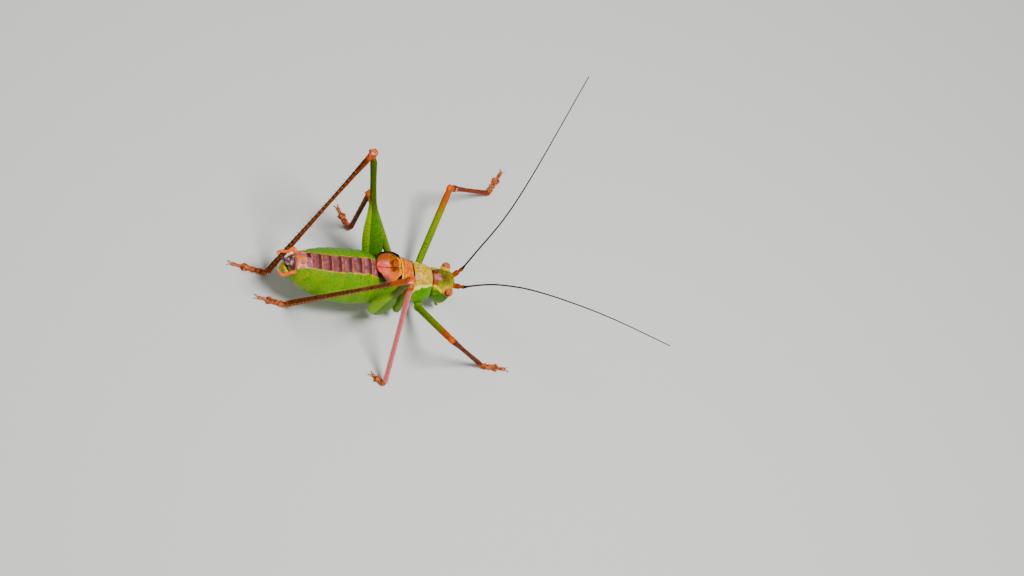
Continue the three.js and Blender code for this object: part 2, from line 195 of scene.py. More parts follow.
def half_sizes(node, root, tip, facing, count=41):
    """Half sizes of a limb's solid round the line from root to tip: towards facing, and across it."""
    _, outward, aside = limb_axes(root, tip, facing)
    found = slices(node, root, tip, count)
    shares = [cut[0] for cut in found]
    sizes = [[np.ptp(cut[2] @ direction) / 2 for cut in found] for direction in (outward, aside)]
    return [lambda t, size=size: np.interp(t, shares, size) for size in sizes]


def middle_line(node, start, heading, step):
    """Follows a bent solid from one end: the middles of cuts across it, one step after another."""
    place, heading = np.asarray(start, float), unit(heading)
    corners = corners_of(node)
    line = [place]
    while len(line) < MOST_STEPS:
        ahead = place + heading * step
        rim = cut_rim(corners, (corners - ahead) @ heading)
        rim = rim[np.linalg.norm(rim - ahead, axis=1) < LIMB_REACH]
        if len(rim) < 3:
            return np.array(line)
        middle = (rim.min(axis=0) + rim.max(axis=0)) / 2
        heading = unit(heading + 2 * unit(middle - place))
        place = middle
        line.append(place)
    return np.array(line)


def meeting(first, second):
    """The place where two lines come closest, halfway between them."""
    a, b = np.array(first), np.array(second)
    u, v = a[1] - a[0], b[1] - b[0]
    matrix = np.array([[u @ u, -(u @ v)], [u @ v, -(v @ v)]])
    s, t = np.linalg.solve(matrix, [(b[0] - a[0]) @ u, (b[0] - a[0]) @ v])
    return (a[0] + u * s + b[0] + v * t) / 2


# %% Places of the eyes and feelers
EYE_SHARE = 0.84
EYE = {side: sum(box_of(f"eye_{side}")) / 2 for side in SIDES}
EYE_RADIUS = EYE_SHARE * np.ptp(box_of("eye_left"), axis=0)[2] / 2
FEELER_BASE = {side: long_line(f"antenna_{side}_base", (0, 0, 0)) for side in SIDES}
print("eyes at", {side: place.round(2).tolist() for side, place in EYE.items()})


# %% [markdown]
# A mesh is gathered from closed shells. Each point carries values that its finish reads: `along` runs
# from 0 at the root of a limb to 1 at its tip, `lift` is 1 on the side that faces out of the bend of a
# knee and -1 inside it, and `turn` is the same across the limb.

# %% Gathering shells into meshes
POLE_BULGE = 0.4


class Shape:
    """Closed shells in mm, with values for their points and a finish for their faces."""

    def __init__(self):
        self.points = []
        self.faces = []
        self.finishes = []
        self.values = {"along": [], "lift": [], "turn": []}
        self.count = 0

    def add(self, points, faces, finish=0, **values):
        points = np.asarray(points, float)
        self.points.append(points)
        self.faces += [[corner + self.count for corner in face] for face in faces]
        self.finishes += [finish] * len(faces)
        for name, store in self.values.items():
            store.append(np.broadcast_to(values.get(name, 0.0), len(points)))
        self.count += len(points)

    def build(self, name, materials, sharp=50):
        """The finished object, in metres, at its place in the frame."""
        mesh = bpy.data.meshes.new(name)
        points = ORIGIN + np.concatenate(self.points) * MM
        mesh.from_pydata(points.tolist(), [], self.faces)
        for material in materials:
            mesh.materials.append(material)
        mesh.polygons.foreach_set("material_index", self.finishes)
        for value, store in self.values.items():
            attribute = mesh.attributes.new(value, "FLOAT", "POINT")
            attribute.data.foreach_set("value", np.concatenate(store).astype(np.float32))
        face_out(mesh)
        mesh.polygons.foreach_set("use_smooth", [True] * len(mesh.polygons))
        mesh.set_sharp_from_angle(angle=math.radians(sharp))
        piece = bpy.data.objects.new(name, mesh)
        bpy.context.scene.collection.objects.link(piece)
        print(name, len(mesh.polygons), "faces")
        return piece


def face_out(mesh):
    """Turns every face of each closed shell outwards."""
    work = bmesh.new()
    work.from_mesh(mesh)
    bmesh.ops.recalc_face_normals(work, faces=work.faces)
    work.to_mesh(mesh)
    work.free()


def tube_faces(rings, sides):
    """The faces of a closed tube; its two poles come after the last ring."""
    faces = []
    for ring in range(rings - 1):
        for side in range(sides):
            near = ring * sides + side
            next_one = ring * sides + (side + 1) % sides
            faces.append((near, next_one, next_one + sides, near + sides))
    start, end = rings * sides, rings * sides + 1
    last = (rings - 1) * sides
    for side in range(sides):
        following = (side + 1) % sides
        faces.append((following, side, start))
        faces.append((last + side, last + following, end))
    return faces


def cubic(t, width, values, slopes, cell):
    """A smooth curve from one value to the next with the slopes there, at a share t of a cell's width."""
    return ((2 * t**3 - 3 * t**2 + 1) * values[cell] + (t**3 - 2 * t**2 + t) * width * slopes[cell]
            + (3 * t**2 - 2 * t**3) * values[cell + 1] + (t**3 - t**2) * width * slopes[cell + 1])


def smooth_path(points, count):
    """A smooth line through some places, as count places an even distance apart."""
    points = np.asarray(points, float)
    known = np.concatenate([[0], np.cumsum(np.linalg.norm(np.diff(points, axis=0), axis=1))])
    slopes = np.gradient(points, known, axis=0)
    fine = np.linspace(0, known[-1], count * 8)
    cell = np.clip(np.searchsorted(known, fine, "right") - 1, 0, len(points) - 2)
    width = (known[cell + 1] - known[cell])[:, None]
    t = (fine - known[cell])[:, None] / width
    line = cubic(t, width, points, slopes, cell)
    gone = np.concatenate([[0], np.cumsum(np.linalg.norm(np.diff(line, axis=0), axis=1))])
    even = np.linspace(0, gone[-1], count)
    return np.stack([np.interp(even, gone, line[:, axis]) for axis in range(3)], axis=1)


def along_curve(pairs, shares):
    """Reads a smooth curve through (share, size) pairs."""
    known = np.array(pairs, float)
    slopes = np.gradient(known[:, 1], known[:, 0])
    shares = np.clip(shares, known[0, 0], known[-1, 0])
    cell = np.clip(np.searchsorted(known[:, 0], shares, "right") - 1, 0, len(known) - 2)
    width = known[cell + 1, 0] - known[cell, 0]
    t = (shares - known[cell, 0]) / width
    return cubic(t, width, known[:, 1], slopes, cell)


def add_tube(shape, path, depth, across, facing, sides, finish=0, relief=None):
    """Adds a closed round tube along a path. depth is its half size towards facing."""
    path = np.asarray(path, float)
    rings = len(path)
    tangent = np.gradient(path, axis=0)
    tangent /= np.linalg.norm(tangent, axis=1)[:, None]
    up = facing - tangent * (tangent @ facing)[:, None]
    up /= np.linalg.norm(up, axis=1)[:, None]
    side = np.cross(up, tangent)
    angles = np.linspace(0, 2 * math.pi, sides, endpoint=False)
    share = np.linspace(0, 1, rings)
    sizes = np.ones((rings, sides)) if relief is None else relief(share[:, None], angles[None, :])
    depth = np.broadcast_to(depth, rings)[:, None] * sizes
    across = np.broadcast_to(across, rings)[:, None] * sizes
    points = (path[:, None] + side[:, None] * (across * np.cos(angles))[..., None]
              + up[:, None] * (depth * np.sin(angles))[..., None]).reshape(-1, 3)
    poles = [path[0] - tangent[0] * depth[0, 0] * POLE_BULGE,
             path[-1] + tangent[-1] * depth[-1, 0] * POLE_BULGE]
    ones = np.ones((rings, sides))
    shape.add(
        np.concatenate([points, poles]), tube_faces(rings, sides), finish,
        along=np.concatenate([(share[:, None] * ones).ravel(), [0, 1]]),
        lift=np.concatenate([(np.sin(angles) * ones).ravel(), [0, 0]]),
        turn=np.concatenate([(np.cos(angles) * ones).ravel(), [0, 0]]),
    )


def rounded(shares, length, radius):
    """How full a tube is near its rounded ends, from 0 to 1."""
    near = np.minimum(shares, 1 - shares) * length / radius
    return np.sqrt(np.clip(1 - (1 - np.clip(near, 0, 1)) ** 2, 0.02, 1))


# %% [markdown]
# Finishes are written as sums. A `Value` is one output of a node, and the usual signs between values
# add Math nodes. Colours go through Mix nodes. All patterns read the place on the piece in the insect's
# own axes, or the values of the points, so that a marking stays where it belongs.

# %% Shader and geometry graphs in Python
class Value:
    """An output of a node that can be used in Python sums."""

    def __init__(self, graph, socket):
        self.graph = graph
        self.socket = socket

    def __add__(self, other):
        return self.graph.math("ADD", self, other)

    def __sub__(self, other):
        return self.graph.math("SUBTRACT", self, other)

    def __rsub__(self, other):
        return self.graph.math("SUBTRACT", other, self)

    def __mul__(self, other):
        return self.graph.math("MULTIPLY", self, other)

    def __truediv__(self, other):
        return self.graph.math("DIVIDE", self, other)

    def __abs__(self):
        return self.graph.math("ABSOLUTE", self)

    def __neg__(self):
        return self.graph.math("MULTIPLY", self, -1)

    __radd__ = __add__
    __rmul__ = __mul__


class Graph:
    """A node tree whose nodes come from one method."""

    def __init__(self, tree):
        self.tree = tree

    def node(self, kind, settings=None, inputs=None, output=0):
        """Adds a node: its settings first, then values or links for its sockets."""
        node = self.tree.nodes.new(kind)
        for name, setting in (settings or {}).items():
            setattr(node, name, setting)
        for key, value in (inputs or {}).items():
            socket = node.inputs[key]
            if isinstance(value, Value):
                self.tree.links.new(value.socket, socket)
            elif socket.type == "RGBA":
                socket.default_value = (*value, 1)
            else:
                socket.default_value = value
        return Value(self, node.outputs[output]) if node.outputs else node

    def math(self, operation, *values):
        return self.node("ShaderNodeMath", {"operation": operation}, dict(enumerate(values)))


class Finish(Graph):
    """A material with the patterns that this insect's cuticle needs."""

    def __init__(self, name):
        self.material = bpy.data.materials.new(name)
        self.material.use_nodes = True
        super().__init__(self.material.node_tree)
        self.tree.nodes.clear()
        place = self.node("ShaderNodeTexCoord", output="Object")
        start = self.node("ShaderNodeVectorMath", {"operation": "SUBTRACT"}, {0: place, 1: ORIGIN.tolist()})
        self.place = self.node("ShaderNodeVectorMath", {"operation": "SCALE"}, {0: start, "Scale": 1 / MM})

    def axis(self, letter):
        """One coordinate of the place, in mm in the insect's own axes."""
        return self.node("ShaderNodeSeparateXYZ", {}, {0: self.place}, letter)

    def point_value(self, name):
        return self.node("ShaderNodeAttribute", {"attribute_name": name}, {}, "Fac")

    def step(self, value, low, high):
        """Rises smoothly from 0 to 1 between two values; a high under the low makes it fall."""
        if high < low:
            return 1 - self.step(value, high, low)
        settings = {"interpolation_type": "SMOOTHSTEP"}
        return self.node("ShaderNodeMapRange", settings, {0: value, 1: low, 2: high, 3: 0.0, 4: 1.0})

    def band(self, value, low, high, soft):
        """1 between two values, fading over a soft width outside them."""
        return self.step(value, low - soft, low + soft) * self.step(value, high + soft, high - soft)

    def mix(self, share, first, second):
        """A colour between two others."""
        return self.node("ShaderNodeMix", {"data_type": "RGBA"}, {0: share, 6: first, 7: second}, 2)

    def warped(self, scale, amount):
        """The three coordinates, each shifted by clouds, so that an edge drawn with them wanders."""
        inputs = {"Vector": self.place, "Scale": scale, "Detail": 3.0}
        clouds = self.node("ShaderNodeTexNoise", {}, inputs, 1)
        even = self.node("ShaderNodeVectorMath", {"operation": "SUBTRACT"}, {0: clouds, 1: (0.5, 0.5, 0.5)})
        shift = self.node("ShaderNodeVectorMath", {"operation": "SCALE"}, {0: even, "Scale": amount})
        moved = self.node("ShaderNodeVectorMath", {"operation": "ADD"}, {0: self.place, 1: shift})
        return [self.node("ShaderNodeSeparateXYZ", {}, {0: moved}, letter) for letter in "XYZ"]

    def noise(self, scale, detail=2.0, stretch=(1, 1, 1)):
        """Cloudy values about 0.5, with so many clouds to a millimetre."""
        vector = self.node(
            "ShaderNodeVectorMath", {"operation": "MULTIPLY"}, {0: self.place, 1: stretch})
        return self.node("ShaderNodeTexNoise", {}, {"Vector": vector, "Scale": scale, "Detail": detail})

    def clouds(self, scale, detail, low, high):
        """Patches: 0 where the cloudy values are under low, rising to 1 where they are over high."""
        return self.step(self.noise(scale, detail), low, high)

    def dots(self, scale, size, share=1.0, stretch=(1, 1, 1)):
        """Round dots, with so many cells to a millimetre and a dot in a share of the cells."""
        vector = self.node(
            "ShaderNodeVectorMath", {"operation": "MULTIPLY"}, {0: self.place, 1: stretch})
        cells = {"Vector": vector, "Scale": scale}
        distance = self.node("ShaderNodeTexVoronoi", {}, cells, "Distance")
        colour = self.node("ShaderNodeTexVoronoi", {}, cells, "Color")
        chance = self.node("ShaderNodeSeparateColor", {}, {0: colour}, 0)
        return self.step(distance, size, size * 0.6) * self.math("LESS_THAN", chance, share)

    def surface(self, colour, roughness, bump=None, height=0.01, coat=0.0, specular=0.1):
        """Ends the graph: a shader with its colour and roughness, and a height in mm for its bumps."""
        inputs = {"Base Color": colour, "Roughness": roughness, "Coat Weight": coat,
                  "Coat Roughness": 0.2, "Specular IOR Level": specular}
        if bump is not None:
            inputs["Normal"] = self.node("ShaderNodeBump", {}, {"Distance": height * MM, "Height": bump})
        shader = self.node("ShaderNodeBsdfPrincipled", {}, inputs)
        self.node("ShaderNodeOutputMaterial", {}, {"Surface": shader})
        return self.material


# %% [markdown]
# ## Finishes
#
# The insect is grass green with fine dark dots. A purple-brown stripe runs down its back, with a pale
# bar on the hind edge of each ring. The shield is orange behind its groove and pale in front of it.
# Each marking is a mask that is worked out from the place on the body.

# %% Colours
GRASS = (0.115, 0.30, 0.0)
FRESH_GREEN = (0.070, 0.29, 0.0)
LIME = (0.22, 0.38, 0.0)
CREAM = (1.0, 0.92, 0.15)
AMBER = (1.0, 0.34, 0.0)
RUST = (0.13, 0.030, 0.004)
RED_ORANGE = (0.42, 0.055, 0.003)
CORAL = (1.0, 0.16, 0.015)
ROSE = (0.60, 0.14, 0.10)
PLUM = (0.20, 0.060, 0.062)
DARK_PLUM = (0.060, 0.014, 0.022)
MAROON = (0.12, 0.018, 0.006)
BLACK = (0.006, 0.003, 0.003)

TERGITES = 8
ABDOMEN_REAR = box_of("abdomen")[0][0]
ABDOMEN_FRONT = box_of("abdomen")[1][0]
TERGITE_LENGTH = (ABDOMEN_FRONT - ABDOMEN_REAR) / TERGITES
STRIPE_HALF = 0.58
print("each ring of the abdomen is", round(TERGITE_LENGTH, 2), "mm long")


# %% The trunk's finish
def trunk_finish():
    finish = Finish("trunk_cuticle")
    x, y, z = (finish.axis(letter) for letter in "XYZ")
    warped_x, warped_y, _ = finish.warped(3.0, 0.22)

    cloud = finish.clouds(1.6, 3, 0.35, 0.65)
    skin = finish.mix(cloud, GRASS, (0.165, 0.35, 0.0))
    skin = finish.mix(finish.step(y, 0.4, 1.4) * 0.8, skin, FRESH_GREEN)
    skin = finish.mix(finish.step(z, 3.0, 1.9) * 0.6, skin, (0.13, 0.27, 0.004))
    ring = finish.math("FRACT", (x + (warped_x - x) * 0.3 - ABDOMEN_REAR) / TERGITE_LENGTH)
    on_abdomen = finish.step(x, ABDOMEN_FRONT, ABDOMEN_FRONT - 0.3)
    hem = finish.step(ring, 0.10, 0.03) * on_abdomen
    skin = finish.mix(hem * 0.7, skin, (0.26, 0.44, 0.0))
    skin = finish.mix(finish.dots(9, 0.26, 0.5), skin, (0.34, 0.46, 0.0))
    skin = finish.mix(finish.dots(9.5, 0.30, 1.0), skin, (0.02, 0.055, 0.0))

    blotch = finish.clouds(2.4, 3, 0.50, 0.64) * finish.band(y, -1.25, -0.60, 0.15)
    skin = finish.mix(blotch * finish.step(x, -6.2, -7.0) * 0.6, skin, (0.42, 0.26, 0.0))

    middle = finish.step(x, -5.5, -8.0) * 0.14
    across = abs(warped_y - middle)
    bar = finish.step(ring, 0.13, 0.05)
    shade = finish.step(ring, 0.55, 0.8)
    patch = finish.clouds(3.4, 3, 0.42, 0.62)
    stripe = finish.mix(patch, PLUM, (0.34, 0.090, 0.075))
    stripe = finish.mix(shade * 0.8, stripe, DARK_PLUM)
    mauve = finish.band(ring, 0.22, 0.48, 0.12) * finish.clouds(2.2, 2, 0.48, 0.6)
    stripe = finish.mix(mauve * 0.7, stripe, (0.52, 0.22, 0.28))
    pale = finish.mix(finish.clouds(1.3, 2, 0.42, 0.58), ROSE, (0.95, 0.20, 0.03))
    fade = finish.clouds(2.6, 2, 0.30, 0.55)
    stripe = finish.mix(bar * fade * 0.85, stripe, pale)
    stripe = finish.mix(finish.dots(8, 0.26, 0.6) * 0.6, stripe, BLACK)

    upper = finish.step(z, 4.35, 4.75)
    half = STRIPE_HALF - finish.step(x, -6.8, -8.0) * 0.05
    on_back = finish.step(across - half, 0.03, -0.03) * upper
    rim = finish.band(across - half, -0.01, 0.055, 0.03) * upper
    rim = rim * finish.clouds(4.0, 2, 0.40, 0.56)
    colour = finish.mix(on_back, skin, stripe)
    colour = finish.mix(rim * 0.85, colour, AMBER)

    dark_ring = finish.band(warped_x, -7.52, -7.24, 0.05) * finish.step(across, 0.62, 0.5) * upper
    ring_colour = finish.mix(finish.step(warped_y, 0.36, 0.20), DARK_PLUM, (0.36, 0.11, 0.20))
    # Painted highlight: pale pink-white spots on the near half of the dark ring.
    spot = finish.clouds(4.0, 2, 0.50, 0.62) * finish.step(warped_y, 0.16, 0.04)
    ring_colour = finish.mix(spot, ring_colour, (1.0, 0.50, 0.75))
    colour = finish.mix(dark_ring * 0.95, colour, ring_colour)
    end_ring = finish.band(warped_x, -8.3, -7.56, 0.05) * finish.band(warped_y, -0.50, 1.12, 0.06)
    end_ring = end_ring * finish.step(z, 4.5, 4.7)
    end_colour = finish.mix(finish.clouds(3.2, 2, 0.42, 0.6), (0.72, 0.15, 0.05), (1.0, 0.33, 0.02))
    end_colour = finish.mix(finish.clouds(2.8, 3, 0.50, 0.60), end_colour, (0.50, 0.13, 0.17))
    end_colour = finish.mix(finish.clouds(5, 2, 0.60, 0.66), end_colour, (0.30, 0.06, 0.03))
    gleam = finish.clouds(4.2, 2, 0.56, 0.62) * finish.step(warped_y, 0.0, -0.2)
    end_colour = finish.mix(gleam * 0.9, end_colour, (1.0, 0.40, 0.44))
    colour = finish.mix(end_ring, colour, end_colour)
    tail = finish.step(warped_x, -8.28, -8.36) * finish.step(z, 4.62, 4.78)
    tail_colour = finish.mix(finish.step(warped_y, 0.2, 0.6), (0.10, 0.035, 0.05), (0.55, 0.14, 0.01))
    colour = finish.mix(tail, colour, tail_colour)

    grain = finish.noise(14, 3)
    return finish.surface(colour, 0.32 + finish.noise(5, 2) * 0.18, grain, 0.012, specular=0.07)


# %% The head's finish
def head_finish():
    """`lift` is 1 in the seams of the face and `turn` is 1 on the tips of the jaws."""
    finish = Finish("head_cuticle")
    x, y, z = (finish.axis(letter) for letter in "XYZ")
    warped_x, warped_y, warped_z = finish.warped(2.6, 0.55)
    across = abs(warped_y)
    skin = finish.mix(finish.clouds(2.2, 3, 0.4, 0.62), (0.060, 0.20, 0.0), (0.085, 0.24, 0.0))
    skin = finish.mix(finish.step(z, 2.9, 2.0) * 0.5, skin, LIME)
    crown = finish.step(warped_z, 3.48, 3.66)
    top = finish.mix(finish.clouds(5, 3, 0.42, 0.6), (0.22, 0.22, 0.01), (0.12, 0.10, 0.008))
    top = finish.mix(finish.step(warped_y, -0.25, -0.6), top, (0.34, 0.34, 0.005))
    dull = finish.band(warped_x, 1.9, 2.35, 0.25) * finish.band(warped_y, -0.20, 0.40, 0.18)
    top = finish.mix(dull * 0.7, top, (0.10, 0.085, 0.006))
    colour = finish.mix(crown, skin, top)
    loose_x, loose_y = x + (warped_x - x) * 0.35, y + (warped_y - y) * 0.35
    reach_back = 1.86 + finish.step(y, 0.10, 0.35) * 0.10
    wedge = finish.step(loose_x - reach_back, 0.05, -0.05) * finish.band(loose_y, -0.60, 0.76, 0.05) * crown
    wedge_colour = finish.mix(finish.step(loose_y, 0.12, 0.26), (0.32, 0.070, 0.02), (0.14, 0.026, 0.008))
    colour = finish.mix(wedge, colour, wedge_colour)
    bloom = finish.band(loose_y, -0.27, 0.15, 0.05) * finish.step(loose_x, 2.18, 2.04) * crown
    bloom_colour = finish.mix(finish.clouds(3.6, 2, 0.42, 0.58), (0.60, 0.15, 0.16), (0.44, 0.10, 0.09))
    colour = finish.mix(bloom, colour, bloom_colour)
    sheen = finish.band(loose_y, -0.24, -0.10, 0.04) * finish.band(loose_x, 1.82, 2.02, 0.05) * crown
    colour = finish.mix(sheen * 0.7, colour, (0.90, 0.30, 0.38))
    streak = finish.band(across, 0.17, 0.22, 0.03) * finish.band(x, 1.9, 2.5, 0.15) * crown
    colour = finish.mix(streak * 0.6, colour, (0.12, 0.05, 0.02))
    mark = finish.step(across, 0.14, 0.04) * finish.band(warped_x, 2.22, 2.36, 0.06) * crown
    colour = finish.mix(mark * 0.9, colour, (0.08, 0.055, 0.065))
    line = finish.band(abs(y) + (warped_y - y) * 0.2 - finish.step(x, 1.5, 2.4) * 0.26, 0.55, 0.67, 0.04)
    line = line * finish.step(z, 3.2, 3.35) * finish.step(x, 2.62, 2.5)
    colour = finish.mix(line, colour, (1.0, 0.74, 0.0))
    brow = finish.step(warped_x, 2.66, 2.9) * finish.band(z, 3.1, 3.85, 0.12)
    colour = finish.mix(brow * finish.clouds(5, 2, 0.36, 0.56) * 0.8, colour, (0.80, 0.42, 0.01))
    for middle_of_eye in EYE.values():
        offset = finish.node("ShaderNodeVectorMath", {"operation": "DISTANCE"}, {
            0: finish.place, 1: tuple(middle_of_eye)}, "Value")
        rim = finish.step(offset + (warped_x - x) * 0.15, 0.46, 0.36)
        colour = finish.mix(rim * 0.8, colour, (0.95, 0.50, 0.01))
    cheek = finish.step(abs(y), 0.66, 0.86) * finish.band(z, 2.5, 3.3, 0.25)
    colour = finish.mix(cheek * finish.clouds(3, 2, 0.46, 0.62) * 0.4, colour, (0.13, 0.09, 0.0))
    face = finish.step(warped_x, 2.55, 2.9) * finish.step(z, 3.2, 2.9)
    colour = finish.mix(face * finish.clouds(3.4, 3, 0.4, 0.6) * 0.55, colour, (0.36, 0.34, 0.02))
    colour = finish.mix(finish.point_value("lift") * 0.75, colour, (0.05, 0.045, 0.004))
    colour = finish.mix(finish.point_value("turn"), colour, (0.05, 0.012, 0.006))
    colour = finish.mix(finish.dots(10.5, 0.28, 0.8) * 0.85, colour, (0.05, 0.025, 0.002))
    colour = finish.mix(finish.dots(7, 0.24, 0.25), colour, (0.9, 0.62, 0.02))
    grain = finish.noise(12, 3)
    return finish.surface(colour, 0.34 + finish.noise(5, 2) * 0.16, grain, 0.012, specular=0.06)


# %% The legs' finishes
KNEE_LOBE_VALUE = 0.97


def thigh_finish(name, green, slender, knee_start, knee_full):
    """Green with dark dots, turning orange towards the knee; a hind thigh has a pale lower third."""
    finish = Finish(name)
    hind = "hind" in name
    along, lift, turn = (finish.point_value(value) for value in ("along", "lift", "turn"))
    wander = finish.noise(4, 2) - 0.5
    if hind:
        green = finish.mix(finish.step(finish.axis("Y"), -0.5, 0.5), (0.12, 0.30, 0.0), green)
    colour = finish.mix(finish.clouds(2.2, 3, 0.4, 0.62) * 0.25, green, LIME)
    colour = finish.mix(finish.step(along + wander * 0.1, 0.42, 0.58), colour, slender)
    root_part = finish.step(along, 0.62, 0.46)
    if hind:
        edge = lift + wander * 0.12
        # Painted light: the pale lower third is lighter on the left thigh, which the light falls on, than
        # on the right one.
        lower = finish.mix(finish.step(finish.axis("Y"), -0.5, 0.5), (0.33, 0.62, 0.0), (0.45, 0.75, 0.0))
        colour = finish.mix(finish.step(edge, -0.30, -0.36) * root_part, colour, lower)
        keel = finish.band(edge, -0.32, -0.27, 0.03) * root_part
        colour = finish.mix(keel * 0.7, colour, (0.02, 0.06, 0.002))
        phase = finish.math("FRACT", along * 34.0 + abs(lift) * 2.6)
        lines = finish.band(phase, 0.40, 0.60, 0.15) * finish.step(abs(turn), 0.3, 0.6)
        lines = lines * finish.step(along, 0.46, 0.38)
        colour = finish.mix(lines * 0.5, colour, (0.03, 0.11, 0.002))
    colour = finish.mix(finish.dots(6.5, 0.30, 1.0), colour, (0.02, 0.035, 0.002))
    colour = finish.mix(finish.dots(8, 0.22, 0.2), colour, (0.55, 0.50, 0.01))
    knee = along + wander * 0.1
    colour = finish.mix(finish.step(knee, knee_start, knee_full), colour, (0.52, 0.085, 0.004))
    blush = finish.clouds(3.2, 2, 0.42, 0.62) * finish.step(along + wander * 0.05, 0.95, 0.985)
    colour = finish.mix(blush * 0.7, colour, CORAL)
    lobe = finish.band(along, KNEE_LOBE_VALUE - 0.0015, KNEE_LOBE_VALUE + 0.0015, 0.0005)
    lobe_colour = (0.58, 0.10, 0.006)
    # A hind knee's lobes carry pale pink spots, a painted highlight.
    if hind:
        lobe_colour = finish.mix(finish.clouds(3.2, 2, 0.50, 0.64), (0.52, 0.09, 0.02), (1.0, 0.40, 0.40))
    colour = finish.mix(lobe, colour, lobe_colour)
    roughness = 0.34 + finish.noise(6, 2) * 0.2
    return finish.surface(colour, roughness, finish.noise(16, 3), 0.01, specular=0.015)


def shin_finish(name, light, dark, foot):
    """Reddish, darker along its edges, with a paler end."""
    finish = Finish(name)
    along, lift = finish.point_value("along"), finish.point_value("lift")
    edges = finish.step(abs(lift + (finish.noise(6, 2) - 0.5) * 0.3), 0.5, 0.9)
    colour = finish.mix(edges * 0.85, light, dark)
    colour = finish.mix(finish.clouds(4, 3, 0.48, 0.66) * 0.5, colour, foot)
    knee = 0.10 if "hind_leg_right" in name else 0.0
    colour = finish.mix(finish.step(along, 0.06 + knee, 0.02 + knee), colour, (0.75, 0.12, 0.008))
    if "fore" in name:
        turn = finish.point_value("turn")
        ear = finish.band(along, 0.085, 0.125, 0.008) * finish.step(abs(turn), 0.80, 0.9)
        colour = finish.mix(finish.band(along, 0.075, 0.135, 0.008) * 0.8, colour, MAROON)
        colour = finish.mix(ear, colour, (0.75, 0.36, 0.22))
    colour = finish.mix(finish.step(along, 0.95, 0.99) * 0.8, colour, foot)
    colour = finish.mix(finish.dots(8, 0.27, 0.5) * 0.7, colour, MAROON)
    roughness = 0.34 + finish.noise(6, 2) * 0.2
    return finish.surface(colour, roughness, finish.noise(16, 3), 0.008, specular=0.02)


def foot_finish():
    finish = Finish("foot_cuticle")
    patch = finish.clouds(4.5, 2, 0.4, 0.6)
    colour = finish.mix(patch, (0.24, 0.040, 0.006), (0.62, 0.13, 0.03))
    # Painted highlight: the pale pink dots on the feet.
    colour = finish.mix(finish.dots(6, 0.34, 0.5) * 0.8, colour, (0.85, 0.36, 0.22))
    # Painted shade: the lowest part of each foot, next to the floor, is darker.
    colour = finish.mix(finish.step(finish.axis("Z"), 0.12, 0.05), colour, MAROON)
    return finish.surface(colour, 0.34 + finish.noise(6, 2) * 0.2, finish.noise(16, 3), 0.008)


SHIN_COLOURS = {
    "fore_leg_left": ((0.26, 0.025, 0.001), (0.10, 0.012, 0.001), RED_ORANGE),
    "fore_leg_right": ((0.20, 0.024, 0.001), (0.08, 0.012, 0.001), RED_ORANGE),
    "mid_leg_left": ((0.15, 0.030, 0.002), (0.06, 0.012, 0.001), RED_ORANGE),
    # Painted light: the right mid shin is pink and pale because light falls on it; the left one keeps the
    # shin's rust colour.
    "mid_leg_right": ((1.0, 0.30, 0.36), (0.75, 0.10, 0.10), (1.0, 0.24, 0.22)),
    "hind_leg_left": ((0.20, 0.040, 0.002), (0.060, 0.012, 0.001), RED_ORANGE),
    "hind_leg_right": ((0.28, 0.075, 0.003), (0.09, 0.020, 0.002), (0.60, 0.11, 0.01)),
}
TRUNK, HEAD, THIGH, HIND_THIGH, FOOT, FIRST_SHIN = range(6)
skin_finishes = [
    trunk_finish(),
    head_finish(),
    thigh_finish("thigh_cuticle", (0.16, 0.28, 0.004), (0.22, 0.28, 0.004), 0.64, 0.90),
    thigh_finish("hind_thigh_cuticle", (0.07, 0.28, 0.0), (0.070, 0.12, 0.0), 0.93, 0.985),
    foot_finish(),
    *(shin_finish(f"{name}_shin_cuticle", *colours) for name, colours in SHIN_COLOURS.items()),
]
print(len(skin_finishes), "finishes on the skin")


# %% [markdown]
# ## The skin
#
# The trunk is one long net from the tail to the neck. Every ring of the abdomen ends in an edge that
# stands a little proud of the ring behind it, and a soft fold runs along each flank between the back
# plates and the belly plates.

# %% The trunk
INSET = 0.985
NET_SOFTNESS = (2.3, 1.9)
TRUNK_STEP = 0.040
TRUNK_SIDES = 96
EDGE_HEIGHT = 0.045
FOLD_ANGLE = -0.62
FOLD_DEPTH = 0.09
END_PLATE_X = -8.22


def rise(value, low, high):
    """Rises smoothly from 0 to 1 between two values."""
    t = np.clip((value - low) / (high - low), 0, 1)
    return t * t * (3 - 2 * t)


def bump_at(value, middle, width):
    """A smooth hump of height 1."""
    return np.exp(-0.5 * ((value - middle) / width) ** 2)


def trunk_net():
    """Middle heights and distances to the surface for stations along the trunk."""
    tree = tree_of("abdomen", "tail_tergite", "thorax")
    stations = np.arange(TAIL_X + 0.01, NECK_X + 0.55, TRUNK_STEP)
    angles = np.linspace(0, 2 * math.pi, TRUNK_SIDES, endpoint=False)
    cuts = [cut for node in ("tail_tergite", "abdomen", "thorax")
            for cut in slices(node, (box_of(node)[0][0], 0, 0), (box_of(node)[1][0], 0, 0), 24)]
    places = np.array([cut[1] for cut in cuts])
    order = places[:, 0].argsort()
    heights = np.interp(stations, places[order, 0], places[order, 2])
    heights = soften(heights[:, None], 6, 0)[:, 0]
    net = np.array([
        [reach(tree, (x, 0, height), (0, math.cos(angle), math.sin(angle))) for angle in angles]
        for x, height in zip(stations, heights)
    ])
    for column in net.T:
        missing = np.isnan(column)
        column[missing] = np.interp(stations[missing], stations[~missing], column[~missing])
    return stations, angles, heights, net


